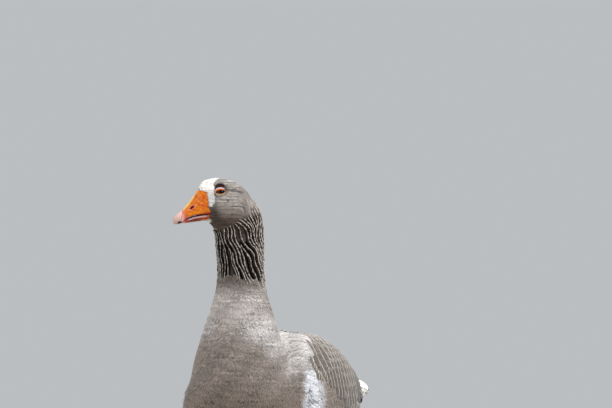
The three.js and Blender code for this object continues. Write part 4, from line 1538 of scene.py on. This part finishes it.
# %% Fan the tail feathers
tail_feather = feather_finish("tail_feathers", edge=linear(244, 242, 238), edge_share=1.0,
                              edge_start=0.55, centre_dark=0.15, shaft=linear(70, 66, 62),
                              barbs=70.0, streak=0.18)


def dropped_on_tail(middle, face):
    """The skin's point above (1) or below (-1) a place in the tail."""
    high = middle + BACKWARD_UP * (150 if face > 0 else -150) * MM
    hit = skin_tree.ray_cast(Vector(high), Vector(-BACKWARD_UP * face), 0.3)[0]
    if hit is None:
        hit = skin_tree.find_nearest(Vector(middle + BACKWARD_UP * 68 * MM))[0]
    return np.array(hit[:])


def tail_rows(face, count, start, tip, width, spread_root, spread_tip):
    """Roots, headings, lengths, widths, and places in the fan, on one face of the tail."""
    rows = []
    for i in range(count):
        fan = (i + 0.5) / count * 2 - 1
        ends = []
        for along, reach in ((start, spread_root), (tip - 14 * abs(fan) ** 2, spread_tip)):
            middle = TRUNK_CENTRE + RUMPWARD * along * MM + np.array([fan * reach * MM, 0, 0])
            ends.append(dropped_on_tail(middle, face))
        rows.append((*ends, width * MM, abs(fan)))
    rows.sort(key=lambda row: -row[3])
    roots, tips = (np.array([row[k] for row in rows]) for k in (0, 1))
    widths, fans = np.array([row[2:] for row in rows]).T
    return roots, unit(tips - roots), np.linalg.norm(tips - roots, axis=1), widths, fans


# Tiers of a count, a place of the roots and a place of the tips along the trunk in mm, rearmost first.
TOP_COVERTS = [(9, 222, 272), (10, 208, 256), (8, 196, 240), (6, 186, 224)]
UNDER_COVERTS = [(9, 226, 288), (8, 212, 268), (9, 198, 246)]
for name, face, tiers, reach, length_share, loose, width, material, tint in (
    ("tail_top", 1, [(14, 206, 322)], 40, 1.17, 3, 15, tail_feather, linear(98, 92, 88)),
    ("tail_under", -1, [(12, 214, 316)], 40, 1.13, 0, 16, tail_feather, linear(150, 146, 142)),
    ("tail_coverts_top", 1, TOP_COVERTS, 32, 1.0, 5, 13, small_feather, VENT),
    ("tail_coverts_under", -1, UNDER_COVERTS, 38, 1.0, 2, 16, small_feather, VENT),
):
    rng = np.random.default_rng(100 + len(tiers))
    laid = [tail_rows(face, count, start, tip, width, reach - 13, reach) for count, start, tip in tiers]
    roots, headings, length, width, fans = (np.concatenate(column) for column in zip(*laid))
    above = (np.linspace(0.2, 1.8, len(roots)) + (1.4 if "coverts" in name else 0.0)) * MM
    standing = loose * rng.uniform(0.2, 1.0, len(roots)) * (0.4 + 0.6 * fans**2) * MM  # tips that stand up
    length = length * length_share * rng.uniform(0.92, 1.04, len(roots))
    tone = 1 + 0.05 * rng.standard_normal(len(roots))
    tail = lay_vanes(name, roots, length, width, (above, above + 0.8 * MM + standing), 0.1, tone,
                     outline=LONG_OUTLINE, ribs=7, headings=headings, root_tone_and_shade=0.7,
                     colours=blended(tint, BLAZE, smoothstep(0.3, 0.7, fans)))
    dress(tail, material)
    print(name, len(roots), "feathers")

# %% [markdown]
# ## The bill
# A goose's bill is living horn over bone: orange and a little mottled, with an open slit of a nostril
# on each side, a hard pale nail at the tip, and a mouth edge that shows a pale, finely toothed strip
# where the lower half lies inside the upper. The solids give its shape. A fine remesh gives points to
# sculpt with, and the nostril, wrinkles and mouth edge are moves of those points.

# %% Sculpt the bill
NOSTRIL = {"forward": 74.2, "up": 9.8, "lean": math.radians(38), "half_length": 5.4, "half_height": 2.3}
# The edge of the mouth and the ridge of the bill: forward and up, mm.
MOUTH_LINE = np.array([
    [30, 1], [46, 0], [61, -1.7], [70, -3.3], [78, -5.8], [84.5, -9.2], [89, -13.5], [92, -24],
])
CULMEN = np.array([
    [38, 38], [52, 37.5], [66.5, 36], [73, 25.2], [80, 16.2], [87, 8], [94, 1.6], [100, -3.2],
])


def nostril_reach(forward, up):
    """1 on the nostril's rim, less inside."""
    f, z = forward - NOSTRIL["forward"], up - NOSTRIL["up"]
    cosine, sine = math.cos(NOSTRIL["lean"]), math.sin(NOSTRIL["lean"])
    length, height = -f * cosine + z * sine, f * sine + z * cosine
    return np.hypot(length / NOSTRIL["half_length"], height / NOSTRIL["half_height"])


def below_mouth(forward, up):
    return read_off(MOUTH_LINE, forward) - up


def below_culmen(forward, up):
    """How far below the ridge of the bill a place lies, in mm."""
    return read_off(CULMEN, forward) - up


def sculpt_upper_bill(co, normals):
    """The nostril with its swollen rim, a groove along the mouth edge, wrinkles and a hollow side."""
    forward, side, up = head_coords(co)
    reach = nostril_reach(forward, up)
    flank = smoothstep(2.0, 4.0, np.abs(side))
    swollen_rim = np.exp(-(((reach - 1.35) / 0.3) ** 2))
    move = -2.6 * smoothstep(1.05, 0.45, reach) * flank + 0.55 * swollen_rim * flank
    groove = np.exp(-(((below_mouth(forward, up) + 3.4) / 0.7) ** 2)) * smoothstep(90, 80, forward)
    wrinkle = np.sin(forward * 1.9 + up * 0.5 + 1.2 * wander(co, 12 * MM, 5)) * smoothstep(64, 50, forward)
    move += -0.35 * groove + 0.13 * wrinkle + 0.18 * wander(co, 9 * MM, 6)
    hollow = smoothstep(0.0, 12.0, below_culmen(forward, up))
    hollow = hollow * smoothstep(62, 70, forward) * smoothstep(92, 84, forward)
    return co + normals * (move - 0.5 * hollow)[:, None] * MM


def sculpt_lower_bill(co, normals):
    """A groove under the mouth line, and a row of fine teeth in it."""
    forward, _, up = head_coords(co)
    depth = below_mouth(forward, up)
    teeth = 0.5 + 0.5 * np.sin(forward * 2 * math.pi / 1.7)
    strip = smoothstep(1.8, 2.6, depth) * smoothstep(6.4, 5.2, depth) * smoothstep(86, 80, forward)
    move = -1.3 * smoothstep(5.6, 4.2, depth) + 0.28 * teeth * strip + 0.15 * wander(co, 9 * MM, 7)
    move -= 0.8 * smoothstep(1.8, 1.0, depth)
    sideways = normals @ LEFT
    return co + LEFT * (sideways * move * smoothstep(0.2, 0.6, np.abs(sideways)))[:, None] * MM


def sculpt_nail(co, normals):
    """A hollow behind the hook of the nail."""
    forward, _, up = head_coords(co)
    hollow = smoothstep(3.2, 1.2, np.hypot((forward - 93.2) / 1.4, up + 14.2))
    return co - normals * (1.1 * hollow)[:, None] * MM


slit = [2 * NOSTRIL[half] for half in ("half_length", "half_height")]
print("each nostril is", slit[0], "by", slit[1], "mm")

# %% [markdown]
# ## Colours of the bill
# The horn is orange with yellow and deep orange clouds, pink towards the pale nail and red along the
# lips. Shade in the mouth's gap and under the nail's hook is painted dark, and light on the ridge and the
# nail is painted too. It could be one flat colour, but living horn never is. As with the plumage, each
# mark is a share worked out from the place, stored per vertex.

# %% The colours of the bill
ORANGE = linear(198, 101, 4)
DEEP_ORANGE = linear(170, 58, 3)
YELLOW_ORANGE = linear(216, 140, 20)
PEACH_HIGHLIGHT = linear(234, 206, 126)
PINK = linear(206, 128, 116)
ROSE = linear(168, 66, 66)
LIP_RED = linear(140, 26, 6)
NOSTRIL_RED = linear(120, 14, 16)
GAP_AND_HOLLOW_SHADE = linear(34, 12, 14)
LILAC = linear(192, 152, 158)
NAIL = linear(206, 170, 160)
LOWER_RED = linear(106, 26, 6)
print("orange, as the shaders see it:", ORANGE.round(3).tolist())

# %% [markdown]
# ## Where the colours go
# Both halves have the orange clouds, and the pink front runs over them and the nail. The upper half adds
# a peach ridge, painted as a skylight highlight, a red lip and a red nostril, and the lower half a pale
# toothed strip under a gap painted dark as shade. The nail is painted lighter on top and darker below,
# with painted shade in the hollow under its hook.

# %% Colour the halves and the nail
def mottled_orange(co):
    return layered(
        ORANGE,
        (YELLOW_ORANGE, smoothstep(0.1, 0.9, wander(co, 6 * MM, 8)) * 0.7),
        (DEEP_ORANGE, smoothstep(0.1, 0.8, wander(co, 8 * MM, 9)) * 0.75),
    )


def front_pink(colour, forward, up):
    """The horn turns pink towards the nail, and pinkish white on it."""
    return layered(
        colour,
        (ROSE, smoothstep(78, 85, forward) * smoothstep(3, -5, up) * 0.85),
        (PINK, smoothstep(84.5, 88.5, forward - 0.1 * up)),
        (NAIL, smoothstep(87, 91, forward)),
    )


def upper_bill_colour(co):
    """Yellower towards the mouth, peach on the ridge as a painted skylight highlight, red at the lip and in
    the nostril.
    """
    forward, _, up = head_coords(co)
    depth = below_mouth(forward, up)
    # painted skylight highlight along the top of the bill
    ridge = smoothstep(5.5, 1.0, below_culmen(forward, up)) * smoothstep(62, 70, forward)
    horn = layered(
        mottled_orange(co),
        (YELLOW_ORANGE, smoothstep(-12, -4, depth) * 0.35),
        (PEACH_HIGHLIGHT, ridge * 0.8),
    )
    reach = nostril_reach(forward, up)
    return layered(
        front_pink(horn, forward, up),
        (DEEP_ORANGE, smoothstep(66, 48, forward) * 0.35),
        (LIP_RED, smoothstep(-3.6, -1.4, depth) * smoothstep(86, 74, forward) * 0.85),
        (PINK, smoothstep(1.45, 1.15, reach) * 0.7),
        (NOSTRIL_RED, smoothstep(1.05, 0.7, reach)),
    )


def lower_bill_colour(co):
    """Red-brown, with the pale toothed strip under the mouth's gap, which is painted dark as shade."""
    forward, _, up = head_coords(co)
    depth = below_mouth(forward, up)
    horn = blended(mottled_orange(co), LOWER_RED, smoothstep(52, 66, forward) * 0.5 + 0.45)
    strip = smoothstep(1.6, 2.3, depth) * smoothstep(4.9, 4.1, depth)
    strip = strip * smoothstep(84, 78, forward) * smoothstep(48, 54, forward)
    return layered(
        front_pink(horn, forward, up),
        (LILAC, strip),
        # painted shade in the gap between the halves of the bill
        (GAP_AND_HOLLOW_SHADE, smoothstep(2.3, 1.5, depth) * smoothstep(84, 76, forward)),
    )


def nail_colour(co):
    """Pinkish white, painted lighter on top and darker towards the bottom and the tip as light and shade,
    with painted shade in the hollow under the hook.
    """
    forward, _, up = head_coords(co)
    # painted light and shade: brighter on top, darker towards the bottom
    colour = front_pink(NAIL, forward, up) * (0.55 + 0.6 * smoothstep(-17, 3, up))[:, None]
    return blended(colour, GAP_AND_HOLLOW_SHADE, smoothstep(3.0, 1.8, np.hypot((forward - 93.2) / 1.4, up + 14.4)))


print("the nail, as the shaders see it:", NAIL.round(3).tolist())

# %% [markdown]
# ## Horn
# Horn has a fine mottle, tiny pits and a thin gloss over them. Each half of the bill is remeshed on its
# own with a voxel of less than a millimetre, which gives points enough for nostril and teeth, then
# relaxed, sculpted and painted.

# %% Make the bill
def horn_finish(name, roughness, coat, grain=900.0, mottle=0.18, specular=0.22):
    """Painted horn with a fine mottle, tiny pits and a thin gloss."""
    material, shader = finish_of(name, roughness, Coat_Weight=coat, Coat_Roughness=0.25,
                                 Specular_IOR_Level=specular)
    tree = material.node_tree
    cloud = noise(tree, grain * 0.3, 5.0, in_Roughness=0.7)
    colour = tinted_by(tree, tint_of(tree), scaled(tree, cloud, 2 * mottle, 1.0 - mottle))
    surface(tree, shader, colour, noise(tree, grain, 3.0), 0.25, 0.4 * MM)
    return material


bill_horn = horn_finish("bill_horn", 0.5, 0.06)
nail_horn = horn_finish("nail_horn", 0.42, 0.12)
for name, node, sculpt, painted, finish, slot in (
    ("upper_bill", "bill_upper", sculpt_upper_bill, upper_bill_colour, bill_horn, "bill_horn"),
    ("lower_bill", "bill_lower", sculpt_lower_bill, lower_bill_colour, bill_horn, "bill_horn"),
    ("bill_tip_nail", "bill_nail", sculpt_nail, nail_colour, nail_horn, "nail_horn"),
):
    horn = fused(name, [node], 0.7 * MM, 0.3 * MM if node == "bill_nail" else 0.1 * MM)
    relax(horn.data, 8, 0.4)
    set_coords(horn.data, sculpt(coords_of(horn.data), normals_of(horn.data)))
    paint(horn.data, painted(coords_of(horn.data)))
    rounded(horn)
    dress(horn, finish, [node])
    print(name, len(horn.data.polygons), "faces")

# %% [markdown]
# ## Eyes and lids
# The eye is a ball of sixteen millimetres, set so deep that only an almond of it shows. Iris and
# pupil are discs about the line of sight, and a clear coat over them gives the wet glint. A flat disc
# would do from one side; the whole ball looks right from every side. It is a grid of rings about the
# line of sight, closed at both ends.

# %% Turn the eyeballs
EYE_RADIUS = 8.0 * MM
PUPIL = 5.2 * MM
IRIS = 6.8 * MM
EYE_TURNS = 64
IRIS_BROWN = linear(92, 42, 10)
IRIS_RIM = linear(52, 26, 14)
PUPIL_BLACK = linear(5, 8, 18)


def grid_mesh(name, points):
    """A mesh of quads over rows of points; each row closes on itself."""
    rows, columns = points.shape[:2]
    faces = []
    for i in range(rows - 1):
        for j in range(columns):
            k = (j + 1) % columns
            faces.append((i * columns + j, i * columns + k, (i + 1) * columns + k, (i + 1) * columns + j))
    mesh = bpy.data.meshes.new(name)
    mesh.from_pydata(points.reshape(-1, 3).tolist(), [], faces)
    obj = new_object(name, mesh)
    rounded(obj)
    return obj


eye_finish, eye_shader = finish_of("eye", 0.12, Coat_Weight=0.07, Coat_Roughness=0.02,
                                   Specular_IOR_Level=0.05)
eye_tree = eye_finish.node_tree
iris_shade = wire(eye_tree, "ShaderNodeMapRange", in_Value=noise(eye_tree, 1400.0, 2.0),
                  in_To_Min=0.7, in_To_Max=1.3)
iris_colour = tinted_by(eye_tree, tint_of(eye_tree), iris_shade.outputs[0])
eye_tree.links.new(iris_colour, eye_shader.inputs["Base Color"])

for side in SIDES:
    sight = unit(OUTWARD[side] - 0.46 * FORWARD + 0.08 * UP)
    level = unit(np.cross(sight, UP))
    high = np.cross(level, sight)
    # Angles from the line of sight: close together over pupil and iris, wider behind.
    lean = np.concatenate([np.linspace(0.004, 1.2, 40), np.linspace(1.26, math.pi - 0.004, 16)])
    turn = np.arange(EYE_TURNS) * 2 * math.pi / EYE_TURNS
    ring = np.cos(turn)[:, None] * level + np.sin(turn)[:, None] * high
    cornea = 1.0 + 0.05 * np.exp(-((lean / 0.55) ** 2))
    outwards = np.cos(lean)[:, None, None] * sight + np.sin(lean)[:, None, None] * ring[None]
    points = eye_centre(side) + EYE_RADIUS * 0.985 * cornea[:, None, None] * outwards
    ball = grid_mesh(f"eyeball_{side}", points if side == "left" else points[:, ::-1])
    bm = bmesh.new()
    bm.from_mesh(ball.data)
    bmesh.ops.holes_fill(bm, edges=[e for e in bm.edges if e.is_boundary])
    bmesh.ops.recalc_face_normals(bm, faces=bm.faces)
    bm.to_mesh(ball.data)
    bm.free()
    radius = np.repeat(EYE_RADIUS * np.sin(lean), EYE_TURNS)
    paint(ball.data, layered(
        PUPIL_BLACK,
        (IRIS_BROWN, smoothstep(PUPIL - 0.25 * MM, PUPIL + 0.25 * MM, radius)),
        (IRIS_RIM, smoothstep(IRIS - 1.2 * MM, IRIS, radius)),
    ))
    dress(ball, eye_finish, [f"eye_{side}"])
print("two eyeballs,", round(EYE_RADIUS * 2 / MM, 1), "mm across")

# %% [markdown]
# ## Lids
# The lids are bare skin round the almond: a thin orange rim, a pale fold above, greyish with a painted
# skylight highlight, and a crease under the brow painted dark as shade. Sculpting them out of the face
# would need far finer skin, so they are rings of their own, from the rim outwards. The inner rings
# follow the eyeball and the outer ones sink into the face.

# %% The rings of the lids
LID_CENTRE = (29.6, 34.8)  # forward and up, mm
LID_TILT = math.radians(-6)
# Rings of the lids from the rim of the opening outwards, mm: half length, reach above, reach below,
# how much each follows the eyeball rather than the face, height over the ball, and height over the
# face above and below the eye.
LID_RINGS = np.array([
    (7.3, 3.1, 3.2, 1.00, -0.15, 0.0, 0.0),
    (7.4, 3.4, 3.4, 1.00, 0.50, 0.0, 0.0),
    (7.6, 3.9, 3.8, 1.00, 0.80, 0.0, 0.0),
    (7.9, 4.5, 4.3, 1.00, 0.60, 0.0, 0.0),
    (8.3, 5.2, 5.0, 0.80, 0.40, 0.6, 0.2),
    (8.7, 6.2, 5.8, 0.45, 0.80, 1.4, 0.5),
    (9.0, 6.9, 6.2, 0.20, 0.80, 1.5, 0.6),
    (9.2, 7.5, 6.6, 0.05, 0.50, 0.7, 0.5),
    (9.4, 8.2, 7.0, 0.00, 0.00, -0.4, 0.4),
    (9.6, 9.5, 7.4, 0.00, 0.00, -0.1, 0.4),
    (9.9, 10.6, 7.9, 0.00, 0.00, -0.8, 0.2),
    (10.2, 12.2, 8.3, 0.00, 0.00, -0.2, -0.2),
    (10.6, 14.2, 8.9, 0.00, 0.00, -0.7, -0.6),
    (11.2, 15.6, 9.7, 0.00, 0.00, -1.2, -1.4),
])
RIM_ORANGE = linear(216, 96, 0)
RIM_TAN = linear(184, 138, 94)
PALE_LID_AND_SKYLIGHT = linear(158, 166, 176)
CREASE_SHADE = linear(34, 20, 22)
CREASE_RED = linear(96, 44, 34)
RING_TURNS = 72
print(len(LID_RINGS), "rings round each eye, the largest", 2 * LID_RINGS[-1, 0], "mm long")

# %% [markdown]
# ## Laying the rings
# Each ring is drawn flat, as it is seen from the side, and then moved out or in: the inner ones to the
# ball, the outer ones to the skin of the face, found by looking at the head from outside.

# %% Lay the rings of the lids
def head_surface(side, forward, up):
    """How far out the skin lies at places on the side of the head, in mm from the middle."""
    outward = OUTWARD[side]
    reach = []
    for f, z in zip(forward.tolist(), up.tolist()):
        start = HEAD_CENTRE + (FORWARD * f + UP * z + outward * 60) * MM
        hit = skin_tree.ray_cast(Vector(start), Vector(-outward), 0.06)[0]
        reach.append(12.0 if hit is None else float((np.array(hit[:]) - HEAD_CENTRE) @ outward) / MM)
    return np.array(reach)


def lid_colour(step, around):
    """The colour of one ring of the lids: rim, pale fold with a painted highlight, crease with painted
    shade, then the face round it.
    """
    rise, face = np.sin(turn), head_colour(around)
    return layered(
        blended(RIM_TAN, RIM_ORANGE, smoothstep(-0.3, 0.5, rise)),
        # the upper lid's own grey, with a painted skylight highlight
        (blended(face, PALE_LID_AND_SKYLIGHT, over), np.full(RING_TURNS, smoothstep(3.2, 4.6, step))),
        # painted shade in the crease under the brow
        (CREASE_SHADE, smoothstep(5.9, 6.6, step) * smoothstep(0.1, 0.45, rise)),
        (CREASE_RED, (step == 9) * smoothstep(0.5, 0.8, rise) * 0.6),
        (face * 0.9, np.full(RING_TURNS, smoothstep(11.2, 12.6, step))),
    )


turn = np.arange(RING_TURNS) * 2 * math.pi / RING_TURNS
over = smoothstep(-0.1, 0.6, np.sin(turn))  # 1 above the eye, 0 below
for side in SIDES:
    outward = OUTWARD[side]
    eye_f, eye_s, eye_z = (float(c) for c in head_coords(eye_centre(side)))
    rows, colours = [], []
    for step, (half, above, below, on_ball, ball_fold, top_fold, low_fold) in enumerate(LID_RINGS):
        f = half * np.sign(np.cos(turn)) * np.abs(np.cos(turn)) ** 0.9
        z = np.where(np.sin(turn) > 0, above, below) * np.sin(turn)
        tilt = LID_TILT * on_ball
        f, z = f * math.cos(tilt) - z * math.sin(tilt), f * math.sin(tilt) + z * math.cos(tilt)
        forward, high = LID_CENTRE[0] + f, LID_CENTRE[1] + z
        radius = EYE_RADIUS / MM
        over_ball, bare_ball = (
            abs(eye_s) + np.sqrt(np.maximum(r**2 - (forward - eye_f) ** 2 - (high - eye_z) ** 2, least))
            for r, least in ((radius + ball_fold, 1.0), (radius, 0.0))
        )
        face_level = head_surface(side, forward, high) + top_fold * over + low_fold * (1 - over)
        out = over_ball * on_ball + face_level * (1 - on_ball)
        if step:  # all but the rim lie on the ball, never in it
            out = np.maximum(out, bare_ball + 0.25)
        upright = FORWARD * forward[:, None], UP * high[:, None]
        rows.append(HEAD_CENTRE + (upright[0] + outward * out[:, None] + upright[1]) * MM)
        colours.append(lid_colour(step, HEAD_CENTRE + (upright[0] + outward * 20.0 + upright[1]) * MM))
    ring = np.stack(rows)
    lids = grid_mesh(f"eyelids_{side}", ring if side == "right" else ring[:, ::-1])
    paint(lids.data, np.concatenate(colours if side == "right" else [c[::-1] for c in colours]))
    lid_skin = horn_finish(f"lid_skin_{side}", 0.7, 0.0, specular=0.06, grain=1500.0, mottle=0.12)
    dress(lids, lid_skin)
    print(lids.name, len(rows), "rings of", RING_TURNS, "points")

# %% [markdown]
# ## Legs, webs and claws
# The bare leg is covered in scales: a net of small ones on the shank, a row of broad plates over each
# toe. The webs are thin skin with faint radial creases. Shank and foot are one skin, so they are fused
# first, and the plates are raised in the mesh along each toe. The net of small scales is finer than
# the mesh, and comes from a cell pattern in the material.

# %% Fuse the legs and raise the toe plates
TOE_JOINT = {"left": np.array([50.0, -27.5, 13.0]) * MM, "right": np.array([-50.0, -27.5, 13.0]) * MM}
PLATE_LENGTH = 3.4  # mm
LEG_SCALES = 420.0  # in a metre
LEG_ORANGE = linear(214, 112, 44)
LEG_PALE = linear(228, 150, 92)
LEG_DARK = linear(150, 66, 26)

leg_skin, leg_shader = finish_of("leg_skin", 0.5, Specular_IOR_Level=0.4, Coat_Weight=0.08)
leg_tree = leg_skin.node_tree
scales = wire(leg_tree, "ShaderNodeTexVoronoi", feature="DISTANCE_TO_EDGE", in_Scale=LEG_SCALES)
scale_edge = ramp(leg_tree, scales.outputs["Distance"], 0.0, 0.14)
scale_cell = wire(leg_tree, "ShaderNodeTexVoronoi", in_Scale=LEG_SCALES).outputs["Color"]
scale_tone = mixed(leg_tree, 0.16, (1.0, 1.0, 1.0, 1.0), scale_cell)
leg_colour = mixed(leg_tree, 1.0, tint_of(leg_tree), scale_tone, "MULTIPLY")
leg_colour = mixed(leg_tree, scale_edge, (*(LEG_DARK * 0.7), 1.0), leg_colour)
surface(leg_tree, leg_shader, leg_colour, scale_edge, 0.5, 0.6 * MM)

for side in SIDES:
    leg = fused(f"leg_{side}", [f"shank_{side}", f"foot_{side}"], 0.9 * MM, 0.25 * MM)
    relax(leg.data, 6, 0.35)
    leg_co, leg_normals = coords_of(leg.data), normals_of(leg.data)
    reach = np.linalg.norm((leg_co - TOE_JOINT[side])[:, :2], axis=1) / MM
    high = leg_co[:, 2] / MM
    on_toe = smoothstep(4.2, 5.6, high) * smoothstep(22, 15, high)
    on_toe = on_toe * smoothstep(4, 10, reach) * smoothstep(0.1, 0.6, leg_normals[:, 2])
    plate = np.abs(((reach / PLATE_LENGTH) % 1.0) - 0.5) * 2  # 0 on a plate's middle, 1 between plates
    lift = (0.45 * (1 - plate**3) - 0.25) * on_toe
    lift += 0.12 * wander(leg_co, 5 * MM, 10) * smoothstep(2.0, 4.0, high)
    leg_co = leg_co + leg_normals * lift[:, None] * MM
    leg_co[:, 2] = np.maximum(leg_co[:, 2], 0.0)
    set_coords(leg.data, leg_co)
    paint(leg.data, layered(
        LEG_ORANGE,
        (LEG_PALE, smoothstep(-0.2, 0.8, wander(leg_co, 14 * MM, 13)) * 0.5),
        (LEG_DARK, smoothstep(0.7, 1.0, plate) * on_toe * 0.8),
        (LEG_DARK, smoothstep(4.0, 0.5, high) * 0.5),
    ))
    rounded(leg)
    dress(leg, leg_skin, [f"shank_{side}", f"foot_{side}"])
    print(leg.name, len(leg.data.polygons), "faces")

# %% [markdown]
# ## Claws
# A claw is dark horn, a little streaked and glossy. The plain solids already have its shape, so they
# stay and only take a finish: there is nothing on a claw this small that a finer mesh would show.

# %% Finish the claws
claw_horn, claw_shader = finish_of("claw_horn", 0.35, linear(58, 48, 44), Coat_Weight=0.2)
claw_tree = claw_horn.node_tree
claw_streak = noise(claw_tree, 600.0, 3.0)
claw_colour = mixed(claw_tree, claw_streak, (*linear(34, 27, 25), 1.0), (*linear(112, 96, 84), 1.0))
surface(claw_tree, claw_shader, claw_colour, claw_streak, 0.2, 0.3 * MM)
claws = [node for name, node in frame["nodes"].items() if name.startswith("claw")]
for claw in claws:
    claw.data.materials.clear()
    claw.data.materials.append(claw_horn)
    rounded(claw)
print(len(claws), "claws of dark horn")
